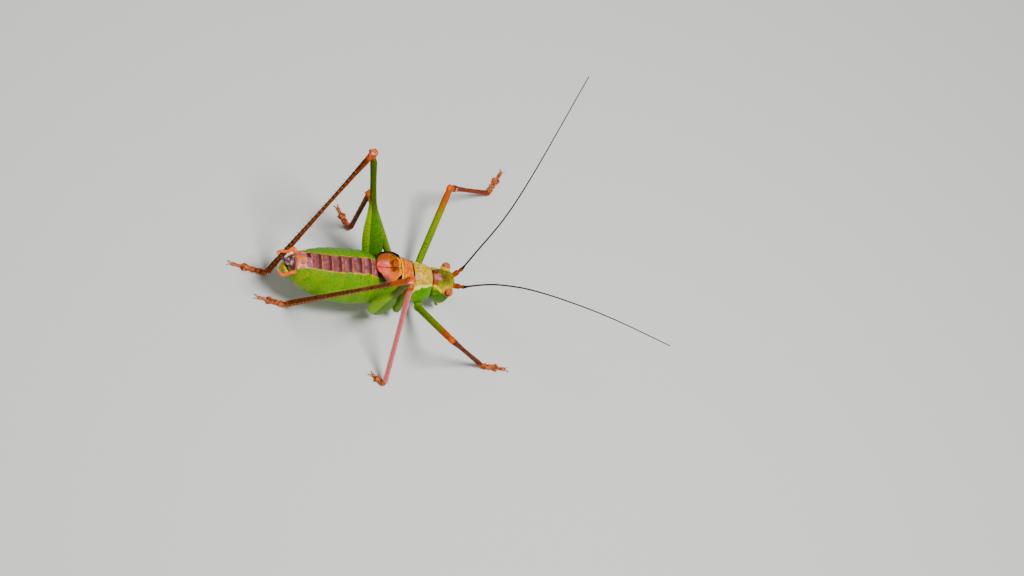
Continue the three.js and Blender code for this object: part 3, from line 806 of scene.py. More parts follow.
def trunk_relief(x, angle):
    """Height of the rings' edges and of the folds over the smooth trunk."""
    ring = ((x - ABDOMEN_REAR) / TERGITE_LENGTH) % 1
    on_abdomen = rise(x, TAIL_X, TAIL_X + 0.2) * (1 - rise(x, ABDOMEN_FRONT - 0.3, ABDOMEN_FRONT))
    edge = EDGE_HEIGHT * ((1 - ring) ** 1.6) * rise(ring, 0.0, 0.07)
    back = rise(np.sin(angle), -0.45, -0.2)
    belly = rise(-np.sin(angle), 0.75, 0.9) * 0.6
    side = np.abs(np.cos(angle))
    fold = FOLD_DEPTH * bump_at(np.sin(angle), math.sin(FOLD_ANGLE), 0.09) * rise(side, 0.3, 0.7)
    crease = 0.03 * bump_at(np.sin(angle), math.sin(FOLD_ANGLE) - 0.22, 0.05) * rise(side, 0.3, 0.6)
    plate = -0.06 * (1 - rise(x, END_PLATE_X - 0.03, END_PLATE_X + 0.01))
    return edge * on_abdomen * (back + belly) - (fold + crease) * on_abdomen + plate


skin = Shape()
stations, angles, heights, net = trunk_net()
net = soften(net, *NET_SOFTNESS) * INSET
net += trunk_relief(stations[:, None], angles[None, :])
tail_round = np.sqrt(np.clip((stations - stations[0]) / 0.3, 0.03, 1))
neck_round = 1 - 0.30 * rise(stations, NECK_X + 0.05, NECK_X + 0.55)
net *= np.minimum(1, 0.25 + 0.75 * tail_round)[:, None] * neck_round[:, None]
trunk_points = np.stack([
    np.broadcast_to(stations[:, None], net.shape),
    net * np.cos(angles),
    heights[:, None] + net * np.sin(angles),
], axis=-1).reshape(-1, 3)
trunk_poles = [(stations[0] - 0.01, 0, heights[0]), (stations[-1] + 0.01, 0, heights[-1])]
skin.add(np.concatenate([trunk_points, trunk_poles]), tube_faces(len(stations), TRUNK_SIDES), TRUNK)
print("trunk net", net.shape)


# %% [markdown]
# The head is a ball of evenly spread points pushed out to the head's solid, so that the face, the crown
# and the cheeks get the same care. Ridges and grooves are then added along short lines: the rims round
# the eyes and feelers, the narrow crest between the feelers, and the seams of the face.

# %% The head
HEAD_DETAIL = 6
head_low, head_high = box_of("head")
ORBIT = {"radius": 0.35, "sunk": 0.15}
SOCKET = {"radius": 0.22, "sunk": np.array([0.27, 0.0, 0.17])}
SOFT_JOIN = 0.045
BROW_X = 2.7
BROW_KEEP = 0.74
CHEEK_KEEP = 0.91
HEAD_RIDGES = [
    ((2.75, 0, 3.9), (3.12, 0, 3.66), 0.07, 0.09),
    ((3.20, 0, 1.90), (3.15, 0, 1.75), 0.06, 0.16),
    ((3.05, 0, 1.45), (2.85, 0, 1.05), 0.09, 0.13),
    ((2.80, 0.66, 1.75), (2.60, 0.42, 1.05), 0.09, 0.08),
    ((2.60, 0.95, 2.5), (2.40, 0.90, 2.0), 0.05, 0.12),
    ((3.10, 0.45, 2.9), (3.10, 0.42, 2.3), 0.04, 0.10),
]
HEAD_SEAMS = [
    ((2.8, 0, 3.95), (3.15, 0, 3.7), 0.05, 0.024),
    ((1.8, 0, 4.1), (2.6, 0, 3.95), 0.02, 0.020),
    ((2.80, 0.95, 3.05), (2.76, 0.84, 2.0), 0.07, 0.028),
    ((3.2, 0, 2.10), (2.98, 0.52, 2.0), 0.09, 0.026),
    ((2.98, 0.52, 2.0), (2.76, 0.84, 2.0), 0.07, 0.026),
    ((2.98, 0.52, 2.0), (2.90, 0.36, 1.55), 0.10, 0.024),
    ((2.90, 0.36, 1.55), (2.72, 0.26, 1.0), 0.12, 0.022),
    ((3.1, 0, 1.64), (2.90, 0.38, 1.60), 0.09, 0.022),
    ((2.76, 0.84, 2.0), (2.45, 0.55, 1.15), 0.10, 0.028),
    ((2.76, 0.84, 2.0), (2.1, 0.85, 2.0), 0.05, 0.030),
]


def near_line(points, start, end, width):
    """1 on a line between two places, falling off over a width."""
    start, end = np.array(start, float), np.array(end, float)
    run = end - start
    share = np.clip(((points - start) @ run) / (run @ run), 0, 1)
    distance = np.linalg.norm(points - (start + share[:, None] * run), axis=1)
    return np.exp(-0.5 * (distance / width) ** 2)


def head_lines(lines):
    """The tallest of some ridges at each point, and how near it is to one; both sides are alike."""
    mirrored = directions * (1, 0, 1) + np.abs(directions) * (0, 1, 0)
    heights, shares = [], []
    for start, end, height, width in lines:
        path = np.linspace(start, end, 12) - head_middle
        path /= np.linalg.norm(path, axis=1)[:, None]
        share = np.max([near_line(mirrored, a, b, width) for a, b in zip(path, path[1:])], axis=0)
        shares.append(share)
        heights.append(share * height)
    return np.max(heights, axis=0), np.max(shares, axis=0)


def ball_reach(start, directions, middle, radius):
    """How far it is from a place to the far side of a ball, or 0 where a ray misses it."""
    offset = np.array(middle) - start
    along = directions @ offset
    inside = radius**2 - (offset @ offset - along**2)
    return np.where((inside > 0) & (along > 0), along + np.sqrt(np.maximum(inside, 0)), 0)


def merge(first, second, softness):
    """The larger of two values, with a soft change from one to the other."""
    return np.logaddexp(first / softness, second / softness) * softness


def ball(detail):
    """Points and faces of an even ball of radius 1."""
    mesh = bmesh.new()
    bmesh.ops.create_icosphere(mesh, subdivisions=detail, radius=1)
    points = np.array([vertex.co for vertex in mesh.verts])
    faces = [[vertex.index for vertex in face.verts] for face in mesh.faces]
    edges = np.array([[vertex.index for vertex in edge.verts] for edge in mesh.edges])
    mesh.free()
    return points, faces, edges


def even_out(values, edges, rounds):
    """Averages each point's value with its neighbours'."""
    for _ in range(rounds):
        total = np.zeros(len(values))
        number = np.zeros(len(values))
        for a, b in ((0, 1), (1, 0)):
            np.add.at(total, edges[:, a], values[edges[:, b]])
            np.add.at(number, edges[:, a], 1)
        values = (values + total / number) / 2
    return values


directions, head_faces, head_edges = ball(HEAD_DETAIL)
head_middle = (head_low + head_high) / 2 * (1, 0, 1) - (0.05, 0, 0)
head_tree = tree_of("head", "mouthparts", hull=True)
head_reach = np.array([reach(head_tree, head_middle, direction) for direction in directions])
head_reach = even_out(head_reach, head_edges, 8) * INSET
for side in SIDES:
    inward = unit(EYE[side] - head_middle) * ORBIT["sunk"]
    orbit = ball_reach(head_middle, directions, EYE[side] - inward, ORBIT["radius"])
    socket = ball_reach(head_middle, directions, FEELER_BASE[side][0] - SOCKET["sunk"], SOCKET["radius"])
    for mound in (orbit, socket):
        head_reach = np.where(mound > 0, merge(head_reach, mound, SOFT_JOIN), head_reach)
head_reach = even_out(head_reach, head_edges, 3)
ridge_height = head_lines(HEAD_RIDGES)[0]
seam_depth, seam_share = head_lines(HEAD_SEAMS)
head_reach += even_out(ridge_height - seam_depth, head_edges, 1)
head_points = head_middle + directions * head_reach[:, None]
front = np.maximum(head_points[:, 0] - BROW_X, 0)
head_points[:, 0] -= front * (1 - BROW_KEEP)
head_points[:, 1] *= 1 - (1 - CHEEK_KEEP) * (1 - rise(head_points[:, 2], 2.6, 3.4))
jaw_tips = (1 - rise(head_points[:, 2], 1.02, 1.22)) * rise(np.abs(head_points[:, 1]), 0.04, 0.12)
skin.add(head_points, head_faces, HEAD, lift=rise(seam_share, 0.35, 0.9), turn=jaw_tips)
print("head", len(head_points), "points")


# %% Mouth and palps
def add_measured(shape, node, root, tip, facing, finish, rings, sides):
    """Adds a rounded tube that follows a solid from end to end."""
    share = np.linspace(0, 1, rings)
    full = rounded(share, np.linalg.norm(tip - root), 0.3)
    deep, wide = (size(share) * full for size in half_sizes(node, root, tip, facing, 31))
    add_tube(shape, root + share[:, None] * (tip - root), deep, wide, facing, sides, finish)


def add_lump(shape, middle, radii, finish, detail=4, axes=np.eye(3), **values):
    """Adds a ball stretched along three axes, which are the rows of a matrix."""
    points, faces, _ = ball(detail)
    shape.add(np.asarray(middle) + (points * radii) @ axes, faces, finish, **values)


def add_palp(path, radius, joints):
    """A palp of slender joints, each a little thicker at its far end."""
    points = smooth_path(path, joints * 12 + 1)
    share = np.linspace(0, 1, len(points))
    joint = (share * joints) % 1
    swell = 0.70 + 0.30 * rise(joint, 0.05, 0.75) - 0.22 * rise(joint, 0.86, 1.0)
    size = radius * swell * rounded(share, 1.0, radius * 0.8)
    add_tube(skin, points, size, size, np.array([0, 0.3, 1.0]), 14, HEAD)


mouth_low, mouth_high = box_of("mouthparts")
mouth_middle = (mouth_low + mouth_high) / 2 * (1, 0, 1)
mouth_half = (mouth_high - mouth_low) / 2
tilt = unit(np.array([0.25, 0, 1.0]))
mouth_axes = np.stack([np.cross((0, 1.0, 0), tilt), (0, 1.0, 0), tilt])
add_lump(skin, mouth_middle + mouth_half * (-0.75, 0, 0.0), mouth_half * (0.40, 0.60, 0.85), HEAD,
         axes=mouth_axes)
for side, sign in SIDES.items():
    palp_low, palp_high = box_of(f"palp_{side}")
    inner = palp_low[1] if sign > 0 else palp_high[1]
    root = np.array([palp_low[0] + 0.02, inner + 0.06 * sign, palp_high[2] - 0.02])
    bend = root + np.array([0.10, 0.16 * sign, -0.30])
    tip = root + np.array([0.30, 0.12 * sign, -0.62])
    add_palp([root + (-0.1, -0.05 * sign, 0.15), bend, tip], 0.085, 4)
    short_root = mouth_middle + mouth_half * (0.0, 0.30 * sign, -0.45)
    short_tip = short_root + np.array([0.20, 0.06 * sign, -0.30])
    short_bend = (short_root + short_tip) / 2 + np.array([0, 0.05 * sign, 0])
    add_palp([short_root, short_bend, short_tip], 0.055, 3)
print("mouth and palps added")


# %% [markdown]
# A leg has a short hip joint, a thigh, a shin and a foot of four joints. The thighs of the hind legs are
# thick at the root, where the jumping muscles are, with a herringbone of ridges on both faces. The knee
# is the place where the middle lines of thigh and shin come closest.

# %% Legs
LEGS = [f"{pair}_leg_{side}" for pair in ("fore", "mid", "hind") for side in SIDES]
THIGH_LESS = 0.035
SHIN_LESS = {"fore": 0.09, "mid": 0.08, "hind": 0.05}
HERRINGBONE = {"count": 34, "slant": 2.6, "height": 0.022}
FOOT_JOINTS = {
    "across": ((0, 0.17), (0.14, 0.18), (0.27, 0.20), (0.30, 0.165), (0.41, 0.20), (0.455, 0.165),
               (0.58, 0.25), (0.66, 0.27), (0.70, 0.15), (0.80, 0.10), (0.93, 0.12), (1, 0.10)),
    "up": ((0, 0.18), (0.14, 0.18), (0.27, 0.185), (0.30, 0.16), (0.41, 0.18), (0.455, 0.155),
           (0.58, 0.165), (0.66, 0.16), (0.70, 0.13), (0.80, 0.095), (0.93, 0.12), (1, 0.10)),
}
HIP_BACK = 0.24
KNEE_PAST = 0.10
COXA_MESH = (24, 24)
THIGH_MESH = {"fore": (84, 28), "mid": (84, 28), "hind": (220, 40)}
LIMB_RINGS = 90
LIMB_SIDES = 20
KNEE = {"fore": (0.28, 0.26, 0.19), "mid": (0.27, 0.25, 0.18), "hind": (0.34, 0.30, 0.21)}


def leg_lines(name):
    """The places of a leg's joints, and the direction that its knee points in."""
    hip_joint = sum(box_of(f"{name}_coxa")) / 2
    thigh = long_line(f"{name}_femur", hip_joint)
    shin = long_line(f"{name}_tibia", thigh[1])
    knee = meeting(thigh, shin)
    facing = unit(unit(knee - thigh[0]) - unit(shin[1] - knee))
    return {"hip": thigh[0], "knee": knee, "ankle": shin[1], "facing": facing}


def thigh_relief(share, angle, hind):
    """Size of a thigh's surface against its smooth form."""
    size = 1 - 0.07 * bump_at(share, 0.93, 0.012) + 0 * angle
    if not hind:
        return size
    face = rise(np.abs(np.cos(angle)), 0.35, 0.7) * (1 - rise(share, 0.36, 0.46)) * rise(share, 0.05, 0.10)
    phase = share * HERRINGBONE["count"] + np.abs(np.sin(angle)) * HERRINGBONE["slant"]
    ridges = HERRINGBONE["height"] * np.cos(phase * 2 * math.pi) * face
    keel = 0.035 * bump_at(np.sin(angle), -0.33, 0.05) * (1 - rise(share, 0.45, 0.6))
    keel = keel * rise(share, 0.05, 0.10)
    return size + ridges + keel


def shin_relief(share, angle, fore):
    """Size of a shin's surface; a fore shin carries an ear on each face below the knee."""
    neck = 0.10 * bump_at(share, 0.0, 0.03) - 0.10 * bump_at(share, 0.055, 0.012)
    end = 0.12 * rise(share, 0.95, 0.985)
    square = 0.05 * np.cos(4 * angle)
    size = 1 + neck + end + square * rise(share, 0.05, 0.12)
    if fore:
        swell = 0.20 * bump_at(share, 0.105, 0.035)
        ear = bump_at(share, 0.105, 0.020) * rise(np.abs(np.cos(angle)), 0.75, 0.93)
        size = size + swell - 0.16 * ear
    return size


LEG_PLACES = {}
for name in LEGS:
    pair = name.split("_")[0]
    lines = leg_lines(name)
    hip, knee, ankle, facing = (lines[key] for key in ("hip", "knee", "ankle", "facing"))
    thigh_finish_at = HIND_THIGH if pair == "hind" else THIGH
    shin_finish_at = FIRST_SHIN + list(SHIN_COLOURS).index(name)
    thigh_axis = unit(knee - hip)

    coxa = long_line(f"{name}_coxa", (hip[0], 0, hip[2] + 1))
    add_measured(skin, f"{name}_coxa", *coxa, UP, TRUNK, *COXA_MESH)

    start = hip - thigh_axis * HIP_BACK
    end = knee + thigh_axis * KNEE_PAST
    length = np.linalg.norm(end - start)
    rings, sides = THIGH_MESH[pair]
    share = np.linspace(0, 1, rings)
    path = start + share[:, None] * (end - start)
    deep, wide = half_sizes(f"{name}_femur", hip, knee, facing)
    on_solid = np.clip((share * length - HIP_BACK) / np.linalg.norm(knee - hip), 0.05, 0.965)
    root_size = 0.27 * (1 - rise(share * length, 0.35, 0.9))
    sizes = [np.maximum(soften(size(on_solid)[:, None], 2.5, 0)[:, 0] - THIGH_LESS, root_size)
             for size in (deep, wide)]
    full = rounded(share, length, 0.20)
    add_tube(skin, path, sizes[0] * full, sizes[1] * full, facing, sides, thigh_finish_at,
             functools.partial(thigh_relief, hind=pair == "hind"))
    outward = unit(facing - thigh_axis * (facing @ thigh_axis))
    knee_axes = np.stack([thigh_axis, outward, np.cross(thigh_axis, outward)])
    add_lump(skin, knee - thigh_axis * 0.04, KNEE[pair], thigh_finish_at, axes=knee_axes, along=0.99)
    for sign in SIDES.values():
        lobe = knee + knee_axes[2] * sign * KNEE[pair][2] * 0.78 - outward * 0.05 - thigh_axis * 0.03
        add_lump(skin, lobe, np.multiply(KNEE[pair], (0.90, 0.85, 0.45)), thigh_finish_at, detail=3,
                 axes=knee_axes, along=KNEE_LOBE_VALUE)

    share = np.linspace(0, 1, LIMB_RINGS)
    deep, wide = half_sizes(f"{name}_tibia", knee, ankle, facing)
    full = rounded(share, np.linalg.norm(ankle - knee), 0.2)
    path = knee + share[:, None] * (ankle - knee)
    on_solid = np.clip(share, 0.03, 0.97)
    sizes = [(size(on_solid) - SHIN_LESS[pair]) * full for size in (deep, wide)]
    add_tube(skin, path, *sizes, facing, LIMB_SIDES, shin_finish_at,
             functools.partial(shin_relief, fore=pair == "fore"))

    toe = box_of(f"{name}_tarsus")
    towards = sum(toe) / 2 - ankle
    line = middle_line(f"{name}_tarsus", ankle, (towards[0], towards[1], 0), 0.08)
    share = np.linspace(0, 1, LIMB_RINGS)
    path = smooth_path(line[::3], LIMB_RINGS)
    up = along_curve(FOOT_JOINTS["up"], share)
    path[:, 2] = np.maximum(up * 0.93, path[:, 2] - 0.04)
    path[:, 2] = soften(path[:, 2:], 2.3, 0)[:, 0]
    full = rounded(share, 2.4, 0.14)
    add_tube(skin, path, up * full, along_curve(FOOT_JOINTS["across"], share) * full,
             UP, LIMB_SIDES, FOOT)
    LEG_PLACES[name] = {**lines, "toe": path[-1], "foot": path}
    print(name, "knee", knee.round(2), "ankle", ankle.round(2), "toe", path[-1].round(2))


# %% The skin as one object
skin_points = np.concatenate(skin.points)
skin_points[:, 2] = np.maximum(skin_points[:, 2], 0.0)
skin.points = [skin_points]
skin_piece = skin.build("skin", skin_finishes)
flesh = ["abdomen", "tail_tergite", "thorax", "head", "mouthparts", "palp_left", "palp_right"]
flesh += [f"{name}_{part}" for name in LEGS for part in ("coxa", "femur", "tibia", "tarsus")]
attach(skin_piece, "root")
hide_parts(*flesh)


# %% [markdown]
# ## Plates and wings
#
# The shield is one stiff plate that sits on the thorax like a saddle, with a groove across it and a
# fine raised rim. The two wings behind it are short flaps that only serve to sing: the left one lies
# over the right one, and a few thick veins frame their cells.

# %% Draping a sheet over a solid
def outer_net(node, stations, axis_z, columns, inset):
    """A net of places on the outside of a saddle-shaped solid, from its left edge to its right edge."""
    tree = tree_of(node)
    far = 6.0

    def from_outside(x, angle):
        direction = np.array([0, math.sin(angle), math.cos(angle)])
        middle = np.array([x, 0, axis_z])
        distance = reach(tree, middle + direction * far, -direction)
        return far - distance if distance < far else math.nan

    scan = np.radians(np.arange(-150, 150.5, 1.0))
    edges = []
    for x in stations:
        hits = [angle for angle in scan if not math.isnan(from_outside(x, angle))]
        edges.append((min(hits), max(hits)) if hits else (math.nan, math.nan))
    edges = np.array(edges)
    for column in edges.T:
        missing = np.isnan(column)
        column[missing] = np.interp(stations[missing], stations[~missing], column[~missing])
    edges = soften(edges, 1.5, 0)
    net = np.zeros((len(stations), columns))
    angles = np.zeros_like(net)
    for row, x in enumerate(stations):
        angles[row] = np.linspace(edges[row, 0], edges[row, 1], columns)
        found = np.array([from_outside(x, angle) for angle in angles[row]])
        missing = np.isnan(found)
        net[row] = np.interp(np.arange(columns), np.flatnonzero(~missing), found[~missing])
    padded = np.concatenate([net[:, :1], net, net[:, -1:]], axis=1)
    net = soften(padded, 2.0, 2.0)[:, 1:-1] - inset
    return net, angles


def round_axis(x, radius, angles, axis_z):
    """Places in mm for a net of distances and angles round a line along the body."""
    return np.stack([x, radius * np.sin(angles), axis_z + radius * np.cos(angles)], axis=-1)


def add_sheet(shape, outer, inner, **values):
    """Adds a closed plate from the nets of places of its two faces."""
    rows, columns = outer.shape[:2]
    faces = []
    size = rows * columns
    for row in range(rows - 1):
        for column in range(columns - 1):
            a = row * columns + column
            quad = (a, a + 1, a + columns + 1, a + columns)
            faces.append(quad)
            faces.append(tuple(corner + size for corner in reversed(quad)))
    border = [*range(columns - 1), *(row * columns + columns - 1 for row in range(rows - 1)),
              *(size - 1 - column for column in range(columns - 1)),
              *(row * columns for row in range(rows - 1, 0, -1))]
    for first, second in zip(border, border[1:] + border[:1]):
        faces.append((second, first, first + size, second + size))
    doubled = {name: np.concatenate([value.ravel(), value.ravel()]) for name, value in values.items()}
    shape.add(np.concatenate([outer.reshape(-1, 3), inner.reshape(-1, 3)]), faces, 0, **doubled)


# %% The shield
SHIELD_AXIS_Z = 3.4
SHIELD_THICK = 0.06
SHIELD_ROWS, SHIELD_COLUMNS = 110, 220
shield_box = box_of("pronotum")
stations = np.linspace(shield_box[0][0] + 0.005, shield_box[1][0] - 0.01, SHIELD_ROWS)
net, angles = outer_net("pronotum", stations, SHIELD_AXIS_Z, SHIELD_COLUMNS, 0.015)
along = (stations[:, None] - stations[0]) / (stations[-1] - stations[0]) + 0 * net
across = angles / np.abs(angles).max(axis=1)[:, None]
border = np.minimum(np.minimum(along, 1 - along) * 2.4, (1 - np.abs(across)) * 3.0)
rim = 0.030 * bump_at(border, 0.04, 0.04) - 0.022 * bump_at(border, 0.15, 0.05)
x_here = stations[:, None] + 0 * net
curl = 0.09 * np.cos(angles * 2.2)
groove = -0.075 * bump_at(x_here + curl - 0.09, 0.0, 0.035) * (1 - rise(np.abs(angles), 1.0, 1.5))
second = -0.05 * bump_at(x_here - 0.22 * np.abs(angles), 0.42, 0.04) * rise(np.abs(angles), 0.5, 0.9)
second *= 1 - rise(np.abs(angles), 1.5, 1.9)
hump = 0.05 * bump_at(x_here, -0.5, 0.28) * (1 - rise(np.abs(angles), 0.5, 1.0))
middle_line_relief = -0.015 * bump_at(angles, 0, 0.02)
dent = -0.03 * bump_at(x_here, 0.62, 0.16) * bump_at(np.abs(angles), 0.42, 0.14)
front_rise = -0.13 * rise(x_here, shield_box[1][0] - 0.22, shield_box[1][0]) ** 2
shield_shape = Shape()
relief = rim + groove + second + hump + middle_line_relief + dent + front_rise
add_sheet(shield_shape, round_axis(x_here, net + relief, angles, SHIELD_AXIS_Z),
          round_axis(x_here, net - SHIELD_THICK, angles, SHIELD_AXIS_Z), along=along, turn=across)


def shield_finish():
    """`along` runs from the hind rim to the front rim and `turn` from the right edge to the left edge."""
    finish = Finish("shield_cuticle")
    x, y, z = (finish.axis(letter) for letter in "XYZ")
    warped_x, warped_y, warped_z = finish.warped(3.0, 0.26)
    sides = finish.mix(finish.clouds(2, 3, 0.4, 0.62), FRESH_GREEN, (0.13, 0.37, 0.0))
    front = finish.mix(finish.clouds(4.2, 3, 0.40, 0.60), (0.50, 0.32, 0.003), (1.0, 0.56, 0.0))
    front = finish.mix(finish.clouds(6.0, 2, 0.56, 0.64) * 0.8, front, (1.0, 0.52, 0.30))
    front = finish.mix(finish.step(warped_x, 0.50, 0.10) * 0.6, front, (0.72, 0.30, 0.005))
    front = finish.mix(finish.step(warped_x, 0.9, 1.3) * 0.5, front, (0.62, 0.48, 0.01))
    sheen = finish.step(warped_x, 0.34, 0.22) * finish.band(warped_y, -0.52, -0.08, 0.06)
    front = finish.mix(sheen * 0.35, front, (1.0, 0.36, 0.36))
    swirl = finish.band(finish.noise(2.2, 3), 0.475, 0.525, 0.02)
    rear = finish.mix(finish.clouds(2, 2, 0.4, 0.6), (0.90, 0.11, 0.0), (0.62, 0.06, 0.0))
    rear = finish.mix(finish.clouds(3.4, 2, 0.50, 0.60) * 0.9, rear, (0.95, 0.24, 0.0))
    rear = finish.mix(swirl * 0.8, rear, (1.0, 0.34, 0.0))
    back = finish.mix(finish.step(x, -0.03, 0.03), rear, front)
    level = warped_z - finish.step(x, 0.0, 0.3) * 0.16 + finish.step(abs(y), 0.80, 0.45) * 0.4
    top = finish.step(level, 3.76, 3.88)
    colour = finish.mix(top, sides, back)
    line = finish.band(level, 3.80, 4.02, 0.04) * finish.step(warped_x, 0.0, 0.2)
    colour = finish.mix(line, colour, CREAM)
    far_half = finish.step(y, -0.45, -0.25)
    from_groove = abs(x + (warped_x - x) * 0.3) - far_half * 0.035
    dark = finish.step(from_groove, 0.06, 0.02) * finish.step(y, -0.85, -0.7)
    colour = finish.mix(dark * (0.55 + far_half * 0.4), colour, (0.030, 0.005, 0.006))
    edge = finish.step(finish.point_value("along"), 0.05, 0.035) * top
    colour = finish.mix(edge * finish.clouds(4, 2, 0.3, 0.5), colour, (1.0, 0.62, 0.0))
    limit = 0.45 - finish.step(y, 0.2, -0.2) * 0.8
    margin = finish.band(abs(y) + (warped_y - y) * 0.25, 1.10, 1.20, 0.03)
    margin = margin * finish.step(x - limit, 0.1, -0.1)
    far_side = finish.step(y, 0.8, 0.95) * finish.step(warped_z, 4.60, 4.48) * finish.step(x, -0.05, -0.25)
    colour = finish.mix(margin * finish.step(z, 3.2, 3.5) + far_side, colour, BLACK)
    colour = finish.mix(finish.dots(10, 0.29, 0.9) * 0.8, colour, (0.08, 0.05, 0.003))
    roughness = 0.30 + finish.noise(5, 2) * 0.16
    return finish.surface(colour, roughness, finish.noise(12, 3), 0.012, specular=0.06)


shield_piece = shield_shape.build("shield", [shield_finish()])
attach(shield_piece, "root")
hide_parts("pronotum")


# %% The short wings
WING_AXIS_Z = 3.9
WING_THICK = 0.05
WING_ROWS, WING_COLUMNS = 100, 120
VEINS = {
    "left": [
        ((-1.85, 0.03), (-1.12, 0.02)), ((-2.0, 0.38), (-1.05, 0.36)), ((-1.12, -0.1), (-1.16, 1.3)),
        ((-1.85, -0.1), (-1.95, 0.45)), ((-1.95, 0.45), (-1.75, 1.0)), ((-1.55, 0.03), (-1.5, 0.38)),
        ((-1.95, 0.2), (-2.6, 0.15)), ((-1.95, 0.45), (-2.6, 0.55)), ((-1.8, 0.85), (-2.4, 1.0)),
        ((-2.3, 0.18), (-2.25, 0.9)),
    ],
    "right": [
        ((-1.85, -0.33), (-1.12, -0.36)), ((-1.12, -1.3), (-1.12, 0.2)), ((-1.85, 0.2), (-1.9, -0.45)),
        ((-1.9, -0.45), (-1.7, -1.0)), ((-1.12, -0.75), (-1.75, -0.80)), ((-1.45, -0.34), (-1.4, -0.78)),
        ((-1.9, -0.3), (-2.6, -0.3)), ((-1.85, -0.6), (-2.5, -0.8)), ((-2.25, -0.1), (-2.2, -0.9)),
    ],
}


def vein_mask(x, y, lines, width):
    """1 on the veins of a wing, from lines between places seen from above."""
    mask = np.zeros_like(x)
    for (a_x, a_y), (b_x, b_y) in lines:
        run = np.array([b_x - a_x, b_y - a_y])
        share = np.clip(((x - a_x) * run[0] + (y - a_y) * run[1]) / (run @ run), 0, 1)
        bend = 0.05 * np.sin(share * math.pi)
        distance = np.hypot(x - a_x - share * run[0] + bend, y - a_y - share * run[1])
        mask = np.maximum(mask, bump_at(distance, 0, width))
    return mask


def wing_finish():
    """`lift` is 1 on a vein, `along` runs from root to tip, and `turn` is 1 less the way to the edge."""
    finish = Finish("wing_membrane")
    x, y = (finish.axis(letter) for letter in "XY")
    along, vein, edge = (finish.point_value(name) for name in ("along", "lift", "turn"))
    warped_x, warped_y, _ = finish.warped(2.6, 0.34)
    rear = finish.mix(finish.clouds(2.6, 3, 0.46, 0.62), (1.0, 0.10, 0.10), (0.95, 0.15, 0.01))
    # Painted highlights: the pale pink patches on the rear of the wing.
    rear = finish.mix(finish.clouds(4.4, 2, 0.56, 0.64) * 0.8, rear, (1.0, 0.42, 0.25))
    rear = finish.mix(finish.step(warped_y, 0.22, 0.55), rear, (0.46, 0.085, 0.012))
    rear = finish.mix(finish.step(warped_y, -0.50, -0.75), rear, (0.28, 0.06, 0.04))
    brown = finish.mix(finish.clouds(3.4, 2, 0.40, 0.6), (0.50, 0.085, 0.003), (0.20, 0.030, 0.002))
    far = finish.mix(finish.clouds(3.4, 2, 0.40, 0.6), (0.46, 0.14, 0.0), (0.30, 0.065, 0.001))
    near = finish.mix(finish.clouds(3.0, 2, 0.40, 0.6), (0.95, 0.16, 0.01), (0.70, 0.10, 0.01))
    cells = finish.mix(finish.step(warped_y, 0.40, 0.50), brown, far)
    cells = finish.mix(finish.step(warped_y, -0.36, -0.48), cells, near)
    colour = finish.mix(finish.step(warped_x, -1.98, -1.80), rear, cells)
    front = finish.step(warped_x, -1.30, -1.18)
    front_colour = finish.mix(finish.clouds(5, 2, 0.42, 0.6), AMBER, (1.0, 0.22, 0.0))
    colour = finish.mix(front, colour, front_colour)
    on_vein = finish.step(vein, 0.45, 0.85) * finish.clouds(3, 2, 0.3, 0.5)
    colour = finish.mix(on_vein * 0.8, colour, (1.0, 0.33, 0.0))
    colour = finish.mix(finish.step(along, 0.955, 0.985), colour, (0.85, 0.06, 0.005))
    black_from = 0.84 - finish.step(y, 0.0, 0.5) * 0.24
    colour = finish.mix(finish.step(edge + (warped_x - x) * 0.08 - black_from, 0.0, 0.025), colour, BLACK)
    roughness = 0.28 + finish.noise(5, 2) * 0.15
    return finish.surface(colour, roughness, finish.noise(11, 2), 0.01, specular=0.05)


